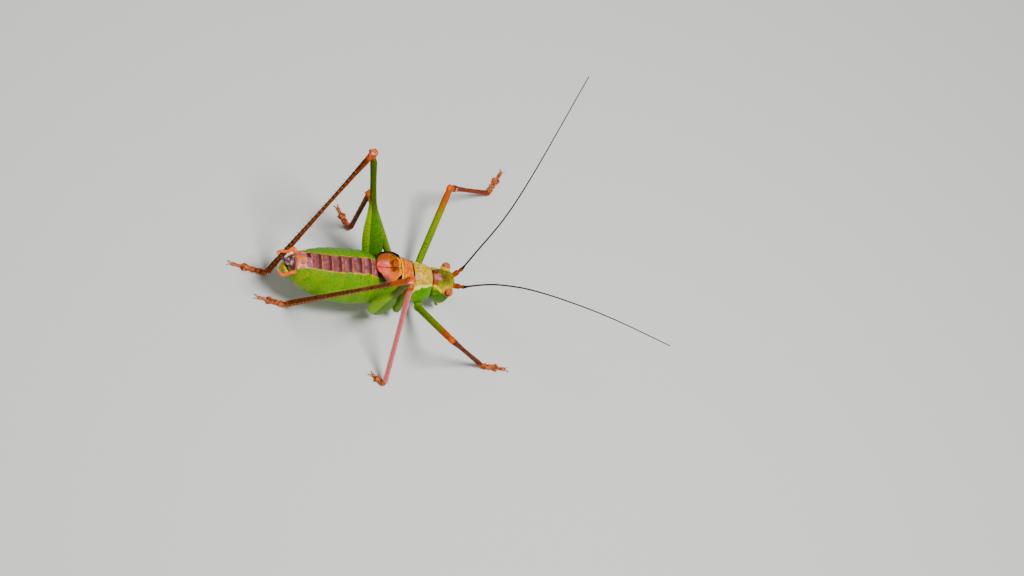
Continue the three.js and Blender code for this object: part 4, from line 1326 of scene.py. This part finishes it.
WING_KEEP = {"left": 0.80, "right": 0.78}
WING_CUT = {"left": 0.34, "right": 0.66}
WING_ROOT_CUT = 0.24
wing_material = wing_finish()
for side, sign in SIDES.items():
    low, high = box_of(f"tegmen_{side}")
    stations = np.linspace(low[0] + 0.01, high[0] - 0.005, WING_ROWS)
    net, angles = outer_net(f"tegmen_{side}", stations, WING_AXIS_Z, WING_COLUMNS, 0.01)
    kept = int(WING_COLUMNS * WING_KEEP[side])
    kept = slice(None, kept) if sign > 0 else slice(WING_COLUMNS - kept, None)
    net, angles = net[:, kept], angles[:, kept]
    along = (stations[-1] - stations[:, None]) / (stations[-1] - stations[0]) + 0 * net
    across = np.broadcast_to(np.linspace(0, 1, net.shape[1]), net.shape)
    outer = across if sign > 0 else 1 - across
    narrow = 1 - WING_ROOT_CUT * (1 - rise(along, 0.0, 0.45))
    at = outer * narrow if sign > 0 else 1 - outer * narrow
    for row in range(len(net)):
        for table in (net, angles):
            table[row] = np.interp(at[row], across[row], table[row])
    cut = 1 - WING_CUT[side] * (1 - np.sqrt(1 - 0.97 * outer**2))
    places = stations[-1] - (stations[-1] - stations[:, None]) * cut
    for table in (net, angles):
        for column in range(table.shape[1]):
            table[:, column] = np.interp(places[:, column], stations, table[:, column])
    wide = net * np.sin(angles)
    veins = vein_mask(places, wide, VEINS[side], 0.018)
    border = np.minimum(np.minimum(outer, 1 - outer), 1 - along)
    to_side = (1 - outer) * np.ptp(angles, axis=1)[:, None] * net
    to_rear = (1 - along) * cut * np.ptp(stations) + (1 - rise(outer, 0.25, 0.5))
    to_edge = to_side if side == "left" else np.minimum(to_side, to_rear)
    relief = 0.022 * veins + 0.02 * bump_at(border, 0.03, 0.03)
    relief = relief - 0.015 * (1 - veins) * rise(border, 0.02, 0.1)
    wing_shape = Shape()
    add_sheet(wing_shape, round_axis(places, net + relief, angles, WING_AXIS_Z),
              round_axis(places, net - WING_THICK, angles, WING_AXIS_Z), along=along, lift=veins,
              turn=1 - np.minimum(to_edge, 1))
    wing = wing_shape.build(f"wing_{side}", [wing_material])
    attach(wing, "root")
    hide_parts(f"tegmen_{side}")


# %% [markdown]
# ## Tail
#
# Two claspers curve round the end of the abdomen, each with a pointed tip that turns inwards. A
# scoop-shaped plate closes the body from below.

# %% Claspers and the plate under them
def coral_finish():
    finish = Finish("coral_cuticle")
    along = finish.point_value("along")
    colour = finish.mix(finish.clouds(3, 2, 0.4, 0.6), CORAL, (0.85, 0.10, 0.005))
    colour = finish.mix(finish.band(along, 0.12, 0.17, 0.03) * 0.8, colour, (1.0, 0.42, 0.12))
    colour = finish.mix(finish.step(along, 0.88, 0.98) * 0.7, colour, (0.95, 0.50, 0.26))
    colour = finish.mix(finish.dots(7, 0.27, 0.4) * 0.5, colour, RUST)
    return finish.surface(colour, 0.28 + finish.noise(6, 2) * 0.15, finish.noise(15, 3), 0.008)


CLASPER_SIZES = ((0, 0.16), (0.16, 0.165), (0.24, 0.135), (0.55, 0.105), (0.82, 0.095), (0.93, 0.070),
                 (1, 0.02))
CLASPER_RINGS = 90
CLASPER_SWAY = ((0, 0), (0.2, -0.055), (0.45, -0.21), (0.6, -0.155), (0.72, -0.095), (1, -0.075))
CLASPER_LEAN = ((0, 0.2), (0.2, 0.235), (0.45, 0.07), (1, 0.05))
TAIL_LEAN = 0.25
coral = coral_finish()
claspers = Shape()
for side, sign in SIDES.items():
    low, high = box_of(f"cercus_{side}")
    outer = high[1] if sign > 0 else low[1]
    root = np.array([high[0], outer - 0.42 * sign, (low[2] + high[2]) / 2])
    line = middle_line(f"cercus_{side}", root, (-1, 0.15 * sign, 0), 0.07)
    line = np.concatenate([[line[3] + (0.15, -0.26 * sign, -0.12)], line[5:-2:3], [line[-1]]])
    share = np.linspace(0, 1, CLASPER_RINGS)
    path = smooth_path(line, CLASPER_RINGS)
    path[:, 0] += 0.07
    path[:, 1] += along_curve(CLASPER_SWAY, share) * sign + along_curve(CLASPER_LEAN, share)
    radius = along_curve(CLASPER_SIZES, share)
    add_tube(claspers, path, radius, radius, UP, 24)
    print(f"cercus_{side}", len(line), "steps, tip", path[-1].round(2))
clasper_piece = claspers.build("claspers", [coral])
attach(clasper_piece, "root")
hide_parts("cercus_left", "cercus_right")


def end_lobe_finish():
    finish = Finish("end_lobe_cuticle")
    streaks = finish.noise(4.5, 2)
    colour = finish.mix(finish.step(streaks, 0.42, 0.56), (0.07, 0.035, 0.06), (0.24, 0.12, 0.15))
    colour = finish.mix(finish.step(streaks, 0.585, 0.63), colour, (0.70, 0.42, 0.20))
    colour = finish.mix(finish.dots(8, 0.30, 0.6) * 0.8, colour, BLACK)
    return finish.surface(colour, 0.30 + finish.noise(5, 2) * 0.15, finish.noise(9, 3), 0.02)


def plate_finish():
    """`lift` is 1 on the outside of the scoop and 0 inside it."""
    finish = Finish("end_plate_cuticle")
    inside = finish.mix(finish.clouds(4, 2, 0.4, 0.6), (1.0, 0.34, 0.01), (0.34, 0.10, 0.005))
    outside = finish.mix(finish.clouds(2.2, 3, 0.42, 0.62), (0.30, 0.27, 0.0), (0.40, 0.36, 0.0))
    outside = finish.mix(finish.step(finish.axis("Z"), 3.9, 3.3), outside, GRASS)
    bright = finish.step(finish.axis("Z"), 4.22, 4.36)
    outside = finish.mix(bright, outside, (0.80, 0.66, 0.0))
    pale = finish.step(abs(finish.axis("Y") - 0.25), 0.38, 0.52) * finish.step(finish.axis("Z"), 4.0, 4.15)
    outside = finish.mix(pale, outside, (1.0, 0.72, 0.10))
    colour = finish.mix(finish.step(finish.point_value("lift"), 0.4, 0.6), inside, outside)
    colour = finish.mix(finish.dots(7, 0.28, 0.5) * 0.7, colour, (0.05, 0.06, 0.005))
    return finish.surface(colour, 0.30 + finish.noise(5, 2) * 0.15, finish.noise(12, 3), 0.01)


low, high = box_of("subgenital_plate")
scoop_middle = np.array([low[0] + 1.03, TAIL_LEAN, low[2] + 1.05])
SCOOP = np.array([0.85, 0.70, 1.10])
UPRIGHT_FROM = math.asin(0.5)
SCOOP_WALL = 0.09
SCOOP_SWEEP = 118
SCOOP_FOOT = np.radians(-86)
columns, rows = 90, 60
azimuth = np.radians(np.linspace(-SCOOP_SWEEP, SCOOP_SWEEP, columns))[None, :] + np.zeros((rows, 1))
notch = 0.10 * bump_at(azimuth, 0, 0.13)
rim_height = 0.55 - 0.22 * rise(-azimuth, 0.3, 1.3) - 0.25 * rise(np.abs(azimuth), 1.3, 2.0) - notch
rim_height += 0.27 * rise(azimuth, 0.1, 0.9)
share = np.linspace(0, 1, rows)[:, None]
height = SCOOP_FOOT + share * (np.arcsin(rim_height) - SCOOP_FOOT)


def scoop_places(size):
    return scoop_middle + np.stack([
        -size[0] * np.cos(np.minimum(height, UPRIGHT_FROM)) * np.cos(azimuth),
        size[1] * np.cos(np.minimum(height, UPRIGHT_FROM)) * np.sin(azimuth),
        size[2] * np.sin(height),
    ], axis=-1)


outer_scoop, inner_scoop = scoop_places(SCOOP), scoop_places(SCOOP - SCOOP_WALL)
outer_scoop[..., 2] -= 0.05 * bump_at(azimuth, 0, 0.12) * np.sin(share * math.pi)
middle_scoop = (outer_scoop + inner_scoop) / 2
thick = np.sqrt(np.clip((1 - share) / 0.06, 0.05, 1))[..., None]
outer_scoop = middle_scoop + (outer_scoop - middle_scoop) * thick
inner_scoop = middle_scoop + (inner_scoop - middle_scoop) * thick
plate_shape = Shape()
add_sheet(plate_shape, outer_scoop, inner_scoop)
plate_shape.values["lift"] = [np.repeat([1.0, 0.0], rows * columns)]
plate = plate_shape.build("end_plate", [plate_finish()])
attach(plate, "root")
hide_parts("subgenital_plate")

end_lobes = Shape()
tail_top = box_of("tail_tergite")[1][2]
lobe_heading = unit((-1.0, 0.42, -0.10))
lobe_axes = np.stack([lobe_heading, unit(np.cross(UP, lobe_heading)), UP])
LOBES = [
    ((0.08, 0.02, 0.02), (0.46, 0.22, 0.15)),
    ((0.30, -0.20, 0.02), (0.34, 0.19, 0.16)),
    ((0.26, 0.27, 0.00), (0.28, 0.15, 0.13)),
    ((-0.34, 0.19, -0.08), (0.26, 0.12, 0.11)),
    ((-0.14, -0.08, -0.10), (0.28, 0.13, 0.12)),
]
for offset, radii in LOBES:
    middle = (TAIL_X + offset[0], TAIL_LEAN / 2 + offset[1], tail_top - 0.50 + offset[2])
    add_lump(end_lobes, middle, radii, 0, axes=lobe_axes)
lobe_piece = end_lobes.build("end_lobes", [end_lobe_finish()])
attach(lobe_piece, "root")


# %% [markdown]
# ## What repeats
#
# Spines, bristles, the rings of the feelers and the facets of the eyes are grown by Geometry Nodes. A
# graph copies one small form onto places that carry their own direction and size, then makes real mesh
# of the copies.

# %% Growing with Geometry Nodes
class Growth(Graph):
    """A geometry graph with named inputs, which ends in real mesh with a material."""

    def __init__(self, name, **inputs):
        super().__init__(bpy.data.node_groups.new(name, "GeometryNodeTree"))
        kinds = {"geometry": "NodeSocketGeometry", "material": "NodeSocketMaterial"}
        self.sockets = {}
        for label, value in inputs.items():
            kind = kinds.get(value) or ("NodeSocketInt" if isinstance(value, int) else "NodeSocketFloat")
            self.sockets[label] = self.tree.interface.new_socket(label, in_out="INPUT", socket_type=kind)
        self.tree.interface.new_socket("Geometry", in_out="OUTPUT", socket_type="NodeSocketGeometry")
        self.entry = self.tree.nodes.new("NodeGroupInput")

    def given(self, label):
        return Value(self, self.entry.outputs[label])

    def named(self, name, kind="FLOAT"):
        """A value that each point carries."""
        return self.node("GeometryNodeInputNamedAttribute", {"data_type": kind}, {0: name})

    def end(self, geometry):
        real = self.node("GeometryNodeRealizeInstances", {}, {0: geometry})
        done = self.node("GeometryNodeSetMaterial", {}, {0: real, "Material": self.given("Material")})
        smooth = self.node("GeometryNodeSetShadeSmooth", {}, {0: done})
        self.node("NodeGroupOutput", {}, {0: smooth})

    def grow(self, name, mesh, **settings):
        """Runs the graph on a mesh and returns a plain mesh object."""
        holder = bpy.data.objects.new(name + "_holder", mesh)
        bpy.context.scene.collection.objects.link(holder)
        modifier = holder.modifiers.new(name, "NODES")
        modifier.node_group = self.tree
        for label, value in settings.items():
            modifier[self.sockets[label].identifier] = value
        graph = bpy.context.evaluated_depsgraph_get()
        grown = bpy.data.meshes.new_from_object(holder.evaluated_get(graph))
        bpy.data.objects.remove(holder)
        grown.name = name
        if not grown.materials:
            grown.materials.append(settings["Material"])
        piece = bpy.data.objects.new(name, grown)
        bpy.context.scene.collection.objects.link(piece)
        print(name, len(grown.polygons), "faces")
        return piece


def place_mesh(name, points, edges=(), vectors=None, floats=None):
    """Loose points in mm, with the values that a graph reads from them."""
    mesh = bpy.data.meshes.new(name)
    mesh.from_pydata((ORIGIN + np.asarray(points) * MM).tolist(), list(edges), [])
    for label, values in (vectors or {}).items():
        attribute = mesh.attributes.new(label, "FLOAT_VECTOR", "POINT")
        attribute.data.foreach_set("vector", np.asarray(values, np.float32).ravel())
    for label, values in (floats or {}).items():
        attribute = mesh.attributes.new(label, "FLOAT", "POINT")
        attribute.data.foreach_set("value", np.asarray(values, np.float32))
    return mesh


def spine_graph():
    """One tapered spine on every place, along its `lie` and of its `size`."""
    growth = Growth("spines", Places="geometry", Length=0.1, Thickness=0.01, Sides=6, Material="material")
    cone = growth.node("GeometryNodeMeshCone", {"fill_type": "NGON"}, {
        "Vertices": growth.given("Sides"), "Side Segments": 2, "Radius Top": 0.0,
        "Radius Bottom": growth.given("Thickness"), "Depth": growth.given("Length")})
    height = growth.node("ShaderNodeSeparateXYZ", {}, {0: growth.node("GeometryNodeInputPosition")}, "Z")
    cone = growth.node("GeometryNodeStoreNamedAttribute", {"data_type": "FLOAT"}, {
        "Geometry": cone, "Name": "along", "Value": height / growth.given("Length")})
    turn = growth.node("FunctionNodeAlignRotationToVector", {"axis": "Z"}, {
        "Vector": growth.named("lie", "FLOAT_VECTOR")})
    copies = growth.node("GeometryNodeInstanceOnPoints", {}, {
        "Points": growth.given("Places"), "Instance": cone, "Rotation": turn,
        "Scale": growth.named("size")})
    growth.end(copies)
    return growth


def ring_graph():
    """Barrels end to end along a line, each as thick as the line's `girth` there."""
    growth = Growth("rings", Line="geometry", Count=100, Length=0.1, Sides=10, Material="material")
    barrel = growth.node("GeometryNodeMeshUVSphere", {}, {
        "Segments": growth.given("Sides"), "Rings": 6, "Radius": 1.0})
    curve = growth.node("GeometryNodeMeshToCurve", {}, {0: growth.given("Line")})
    spots = growth.tree.nodes.new("GeometryNodeCurveToPoints")
    spots.mode = "COUNT"
    growth.tree.links.new(curve.socket, spots.inputs["Curve"])
    growth.tree.links.new(growth.given("Count").socket, spots.inputs["Count"])
    girth = growth.named("girth")
    scale = growth.node("ShaderNodeCombineXYZ", {}, {0: girth, 1: girth, 2: growth.given("Length")})
    copies = growth.node("GeometryNodeInstanceOnPoints", {}, {
        "Points": Value(growth, spots.outputs["Points"]), "Instance": barrel,
        "Rotation": Value(growth, spots.outputs["Rotation"]), "Scale": scale})
    growth.end(copies)
    return growth


def facet_graph():
    """A ball covered with small domes, as an insect's eye is."""
    growth = Growth("facets", Places="geometry", Radius=0.1, Facet=0.01, Detail=5, Material="material")
    ball_mesh = growth.node("GeometryNodeMeshIcoSphere", {}, {
        "Radius": growth.given("Radius"), "Subdivisions": growth.given("Detail")})
    dome = growth.node("GeometryNodeMeshUVSphere", {}, {
        "Segments": 6, "Rings": 4, "Radius": growth.given("Facet")})
    dome = growth.node("GeometryNodeTransform", {}, {"Geometry": dome, "Scale": (1.0, 1.0, 0.35)})
    turn = growth.node("FunctionNodeAlignRotationToVector", {"axis": "Z"}, {
        "Vector": growth.node("GeometryNodeInputNormal")})
    domes = growth.node("GeometryNodeInstanceOnPoints", {}, {
        "Points": ball_mesh, "Instance": dome, "Rotation": turn})
    join = growth.tree.nodes.new("GeometryNodeJoinGeometry")
    for part in (ball_mesh, domes):
        growth.tree.links.new(part.socket, join.inputs[0])
    eye = growth.node("GeometryNodeRealizeInstances", {}, {0: Value(growth, join.outputs[0])})
    placed = growth.node("GeometryNodeInstanceOnPoints", {}, {
        "Points": growth.given("Places"), "Instance": eye})
    growth.end(placed)
    return growth


spines, rings_along, facets = spine_graph(), ring_graph(), facet_graph()


# %% [markdown]
# The eyes are round and stand out from the sides of the head. Their colour changes from amber in front
# to dark red behind and below.

# %% Eyes
FACET = 0.0135


def eye_finish(side):
    finish = Finish(f"eye_{side}")
    warped = finish.warped(4.0, 0.14)
    x, _, z = (value - place for value, place in zip(warped, EYE[side]))
    colour = finish.mix(finish.step(x, -0.14, 0.14), (0.34, 0.035, 0.008), (0.72, 0.17, 0.004))
    colour = finish.mix(finish.step(z + x * 0.5, 0.10, -0.10), colour, (0.16, 0.012, 0.010))
    # Painted highlight: a pale patch on the upper rear of the eye.
    pale = finish.step(z - x * 0.9, 0.25, 0.31) * finish.step(x, -0.24, -0.18)
    colour = finish.mix(pale * 0.35, colour, (1.0, 0.40, 0.18))
    spot = finish.node("ShaderNodeVectorMath", {"operation": "DISTANCE"}, {
        0: finish.place, 1: tuple(EYE[side] + np.array([0.05, 0.06, 0.29]))}, "Value")
    colour = finish.mix(finish.step(spot, 0.055, 0.035) * 0.6, colour, MAROON)
    return finish.surface(colour, 0.30, None, coat=0.04)


for side in SIDES:
    eye = facets.grow(
        f"eye_dome_{side}", place_mesh(f"eye_place_{side}", [EYE[side]]), Radius=EYE_RADIUS * 0.99 * MM,
        Facet=FACET * MM, Detail=5, Material=eye_finish(side))
    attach(eye, "root")
    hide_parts(f"eye_{side}")


# %% [markdown]
# ## Feelers
#
# A feeler has a stout first joint in a socket on the face, a round second joint, and then a whip of
# many rings that gets thinner to its tip.

# %% Feelers
SCAPE_SIZES = ((0, 0.13), (0.12, 0.16), (0.55, 0.18), (0.85, 0.165), (1, 0.11))
SECOND_SIZES = ((0, 0.09), (0.35, 0.115), (0.62, 0.135), (0.85, 0.115), (1, 0.075))
WHIP_GIRTH = (0.068, 0.034)
WHIP_POINTS = 240
RINGS_PER_MM = 7.0
RING_HALF = 0.72


def add_joint(shape, places, sizes, rings, sides, length, end):
    """Adds a stout joint of a feeler, whose half size follows (share, size) pairs."""
    share = np.linspace(0, 1, rings)
    radius = along_curve(sizes, share) * rounded(share, length, end)
    add_tube(shape, smooth_path(places, rings), radius, radius, UP, sides)


def feeler_base_finish():
    finish = Finish("feeler_base_cuticle")
    along = finish.point_value("along")
    wander = (finish.noise(5, 2) - 0.5) * 0.12
    colour = finish.mix(finish.clouds(4, 2, 0.42, 0.6), (0.42, 0.17, 0.002), (0.24, 0.055, 0.003))
    colour = finish.mix(finish.step(along + wander, 0.42, 0.56), colour, (0.36, 0.048, 0.004))
    bands = finish.math("FRACT", (along + wander) * 6.0)
    bands = finish.band(bands, 0.12, 0.38, 0.1) * finish.step(along, 0.40, 0.5)
    colour = finish.mix(bands * finish.clouds(3, 2, 0.35, 0.55) * 0.85, colour, MAROON)
    colour = finish.mix(finish.dots(9, 0.28, 0.5) * 0.8, colour, MAROON)
    return finish.surface(colour, 0.30 + finish.noise(6, 2) * 0.15, finish.noise(14, 3), 0.008)


def whip_finish():
    finish = Finish("whip_cuticle")
    colour = finish.mix(finish.clouds(1.2, 2, 0.4, 0.62), (0.016, 0.008, 0.005), (0.055, 0.022, 0.008))
    return finish.surface(colour, 0.45)


feeler_base, whip = feeler_base_finish(), whip_finish()
for side in SIDES:
    root, tip = FEELER_BASE[side]
    heading = unit(tip - root)
    lower = middle_line(f"antenna_{side}_lower", tip - heading * 0.12, heading, 0.25)
    upper = middle_line(f"antenna_{side}_upper", lower[-1], unit(lower[-1] - lower[-3]), 0.25)
    line = np.concatenate([lower[1:-1], upper[1:]])
    base = Shape()
    add_joint(base, [root - heading * 0.30, root, tip - heading * 0.22], SCAPE_SIZES, 40, 32, 0.5, 0.1)
    onward = unit(line[3] - tip)
    second = [tip - heading * 0.28, tip - heading * 0.08, tip + onward * 0.12]
    add_joint(base, second, SECOND_SIZES, 36, 28, 0.4, 0.06)
    base_piece = base.build(f"feeler_base_{side}", [feeler_base])
    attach(base_piece, "root")
    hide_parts(f"antenna_{side}_base")

    path = smooth_path(np.concatenate([[tip + onward * 0.08], line[3::4], [line[-1]]]), WHIP_POINTS)
    length = np.linalg.norm(np.diff(path, axis=0), axis=1).sum()
    share = np.linspace(0, 1, WHIP_POINTS)
    girth = WHIP_GIRTH[0] + (WHIP_GIRTH[1] - WHIP_GIRTH[0]) * share
    girth *= 1 + 0.5 * (1 - rise(share, 0.0, 0.03))
    count = int(length * RINGS_PER_MM)
    steps = zip(range(WHIP_POINTS - 1), range(1, WHIP_POINTS))
    whip_piece = rings_along.grow(
        f"feeler_whip_{side}", place_mesh(f"whip_line_{side}", path, steps, floats={"girth": girth * MM}),
        Count=count, Length=length / count * RING_HALF * MM, Sides=10, Material=whip)
    print("whip", side, round(length, 1), "mm long,", count, "rings")
    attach(whip_piece, "root")
    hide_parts(f"antenna_{side}_lower", f"antenna_{side}_upper")


# %% [markdown]
# ## Claws, spines and bristles
#
# Each foot ends in two hooked claws. The shins carry rows of small spines, most on the hind legs, with
# longer spurs at the lower end, and fine bristles cover the legs.

# %% Claws
CLAW_RINGS = 18
CLAW_HALF = 0.042
CLAW_TIP_HALF = 0.006


def claw_finish():
    finish = Finish("claw_horn")
    colour = finish.mix(finish.step(finish.point_value("along"), 0.3, 0.9), (0.75, 0.42, 0.16), MAROON)
    return finish.surface(colour, 0.3, None, coat=0.3)


claws = Shape()
for name, places in LEG_PLACES.items():
    foot = places["foot"]
    ahead = unit((foot[-1] - foot[-9]) * (1, 1, 0))
    aside = np.cross(UP, ahead)
    for sign in SIDES.values():
        out = aside * sign
        root = foot[-1] - ahead * 0.05 + out * 0.04
        bend = root + ahead * 0.12 + out * 0.06 + np.array([0, 0, 0.07])
        point = root + ahead * 0.25 + out * 0.13 + np.array([0, 0, -0.02])
        tip = root + ahead * 0.28 + out * 0.15 + np.array([0, 0, 0.02 - root[2]])
        share = np.linspace(0, 1, CLAW_RINGS)
        radius = CLAW_HALF * (1 - share) ** 0.7 + CLAW_TIP_HALF
        path = smooth_path([root, bend, point, tip], CLAW_RINGS)
        path[:, 2] = np.maximum(path[:, 2], radius)
        add_tube(claws, path, radius, radius, out, 12)
claw_piece = claws.build("claws", [claw_finish()])
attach(claw_piece, "root")


# %% Spines and spurs of the shins
SPINE_ROWS = {"fore": (5, 0.16), "mid": (7, 0.16), "hind": (26, 0.20)}
SHIN_HALF = {"fore": 0.155, "mid": 0.165, "hind": 0.190}


def spine_finish():
    finish = Finish("spine_horn")
    colour = finish.mix(finish.step(finish.point_value("along"), 0.25, 0.7), RUST, (0.85, 0.58, 0.30))
    return finish.surface(colour, 0.35)


def add_places(store, place, lie, size):
    """Keeps a spine's place, and turns a spine that would reach into the floor upwards."""
    lie = unit(lie)
    if place[2] + lie[2] * size < 0.03:
        lie = unit(lie * (1, 1, 0) + (0, 0, max(0.03 - place[2], 0.02) / size))
    store["place"].append(np.maximum(place, (-99, -99, 0.02)))
    store["lie"].append(unit(lie))
    store["size"].append(size)


def spine_mesh(name, store):
    """The kept places as loose points for the spine graph."""
    return place_mesh(name, store["place"], vectors={"lie": store["lie"]}, floats={"size": store["size"]})


spine_places = {"place": [], "lie": [], "size": []}
for name, places in LEG_PLACES.items():
    pair = name.split("_")[0]
    knee, ankle, facing = places["knee"], places["ankle"], places["facing"]
    down, outward, aside = limb_axes(knee, ankle, facing)
    count, length = SPINE_ROWS[pair]
    rows = [outward * 0.75 + aside * 0.66, outward * 0.75 - aside * 0.66]
    if pair == "hind":
        rows += [-outward * 0.8 + aside * 0.6, -outward * 0.8 - aside * 0.6]
    for row, direction in enumerate(rows):
        number = count if row < 2 else count // 3
        for share in np.linspace(0.14, 0.93, number):
            place = knee + (ankle - knee) * share + unit(direction) * SHIN_HALF[pair] * 0.85
            add_places(spine_places, place, unit(direction) + down * 0.75, length * (0.8 + 0.4 * share))
    for turn in range(4):
        angle = math.pi / 4 + turn * math.pi / 2
        direction = outward * math.cos(angle) + aside * math.sin(angle)
        place = ankle - down * 0.22 + direction * SHIN_HALF[pair] * 0.8
        add_places(spine_places, place, direction * 0.8 + down, length * 1.5)
spine_piece = spines.grow("shin_spines", spine_mesh("spine_places", spine_places), Length=1.0 * MM,
                          Thickness=0.14 * MM, Sides=8, Material=spine_finish())
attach(spine_piece, "root")


# %% Bristles
BRISTLE_SEED = 5
BRISTLES_PER_MM = {"thigh": 14, "shin": 30, "foot": 46}
BRISTLE_SIZE = {"thigh": 0.09, "shin": 0.11, "foot": 0.09}
FOOT_LENGTH = 2.2
FOOT_HALF = 0.12


def bristle_finish():
    finish = Finish("bristle_horn")
    return finish.surface((0.55, 0.30, 0.12), 0.5)


chance = np.random.default_rng(BRISTLE_SEED)
bristle_places = {"place": [], "lie": [], "size": []}


def scatter_bristles(start, end, radius, facing, number, size):
    """Bristles at random places round a straight limb, leaning towards its tip."""
    down, outward, aside = limb_axes(start, end, facing)
    for share, angle in zip(chance.random(number), chance.random(number) * 2 * math.pi):
        direction = outward * math.sin(angle) + aside * math.cos(angle)
        place = start + (end - start) * share + direction * radius(share, angle)
        add_places(bristle_places, place, direction + down * (0.5 + chance.random()), size)


for name, places in LEG_PLACES.items():
    knee, ankle, hip, facing = (places[key] for key in ("knee", "ankle", "hip", "facing"))
    deep, wide = half_sizes(f"{name}_femur", hip, knee, facing)

    def thigh_radius(share, angle, deep=deep, wide=wide):
        return 0.9 * math.hypot((deep(share) - THIGH_LESS) * math.sin(angle),
                                (wide(share) - THIGH_LESS) * math.cos(angle))

    number = int(np.linalg.norm(knee - hip) * BRISTLES_PER_MM["thigh"])
    scatter_bristles(hip, knee, thigh_radius, facing, number, BRISTLE_SIZE["thigh"])
    number = int(np.linalg.norm(ankle - knee) * BRISTLES_PER_MM["shin"])
    shin_radius = SHIN_HALF[name.split("_")[0]] * 0.85
    scatter_bristles(knee, ankle, lambda share, angle, radius=shin_radius: radius, facing, number,
                     BRISTLE_SIZE["shin"])
    foot = places["foot"]
    number = int(FOOT_LENGTH * BRISTLES_PER_MM["foot"])
    scatter_bristles(foot[0], foot[-1], lambda share, angle: FOOT_HALF, UP, number, BRISTLE_SIZE["foot"])
bristle_piece = spines.grow("bristles", spine_mesh("bristle_places", bristle_places), Length=1.0 * MM,
                            Thickness=0.055 * MM, Sides=4, Material=bristle_finish())
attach(bristle_piece, "root")


# %% [markdown]
# ## Camera, light and floor
#
# The camera looks down on the insect from behind its right side and is rolled to one side. A large soft
# lamp stands nearly overhead, and a pale sky fills the shadows.

# %% The stage
CAMERA = {"azimuth": -126.5, "elevation": 60.7, "roll": 35.35, "distance": 222.6, "lens": 116.1}
LOOK_AT = {"right": 7.92, "up": 0.76}
KEY = {"direction": (0.10, -0.22, 0.97), "distance": 130, "size": 34, "power": 0.19}
SKY = 0.30
HALF_FLOOR = 0.6
FLOOR_GREY = (0.80, 0.80, 0.78)

azimuth, elevation, roll = (math.radians(CAMERA[key]) for key in ("azimuth", "elevation", "roll"))
back = np.array([math.cos(elevation) * math.cos(azimuth), math.cos(elevation) * math.sin(azimuth),
                 math.sin(elevation)])
level = unit(np.cross(UP, back))
steep = np.cross(back, level)
right = level * math.cos(roll) + steep * math.sin(roll)
up = np.cross(back, right)
target = ORIGIN + (right * LOOK_AT["right"] + up * LOOK_AT["up"]) * MM
eye_point = ORIGIN + back * CAMERA["distance"] * MM
gaze = unit(eye_point - target)
right = unit(np.cross(up, gaze))
camera_data = bpy.data.cameras.new("camera")
camera_data.lens = CAMERA["lens"]
camera_data.sensor_width = 36
camera_data.clip_start = 0.01
camera_data.clip_end = 10
camera = bpy.data.objects.new("camera", camera_data)
axes = np.column_stack([right, np.cross(gaze, right), gaze])
camera.matrix_world = Matrix.Translation(eye_point) @ Matrix(axes.tolist()).to_4x4()
bpy.context.scene.collection.objects.link(camera)
bpy.context.scene.camera = camera

lamp_data = bpy.data.lights.new("key", "AREA")
lamp_data.shape = "DISK"
lamp_data.size = KEY["size"] * MM
lamp_data.energy = KEY["power"]
lamp = bpy.data.objects.new("key", lamp_data)
lamp_back = Vector(unit(KEY["direction"]))
lamp.matrix_world = (Matrix.Translation(Vector(ORIGIN) + lamp_back * KEY["distance"] * MM)
                     @ lamp_back.to_track_quat("Z", "Y").to_matrix().to_4x4())
bpy.context.scene.collection.objects.link(lamp)

world = bpy.data.worlds.new("sky")
world.use_nodes = True
world.node_tree.nodes["Background"].inputs["Color"].default_value = (1, 1, 1, 1)
world.node_tree.nodes["Background"].inputs["Strength"].default_value = SKY
bpy.context.scene.world = world

floor_mesh = bpy.data.meshes.new("floor")
floor_corners = [(x * HALF_FLOOR, y * HALF_FLOOR, 0) for x, y in ((-1, -1), (1, -1), (1, 1), (-1, 1))]
floor_mesh.from_pydata(floor_corners, [], [(0, 1, 2, 3)])
floor_mesh.materials.append(Finish("floor_paint").surface(FLOOR_GREY, 0.8, None, specular=0.2))
floor = bpy.data.objects.new("floor", floor_mesh)
bpy.context.scene.collection.objects.link(floor)

# %% Update the scene
bpy.context.view_layer.update()
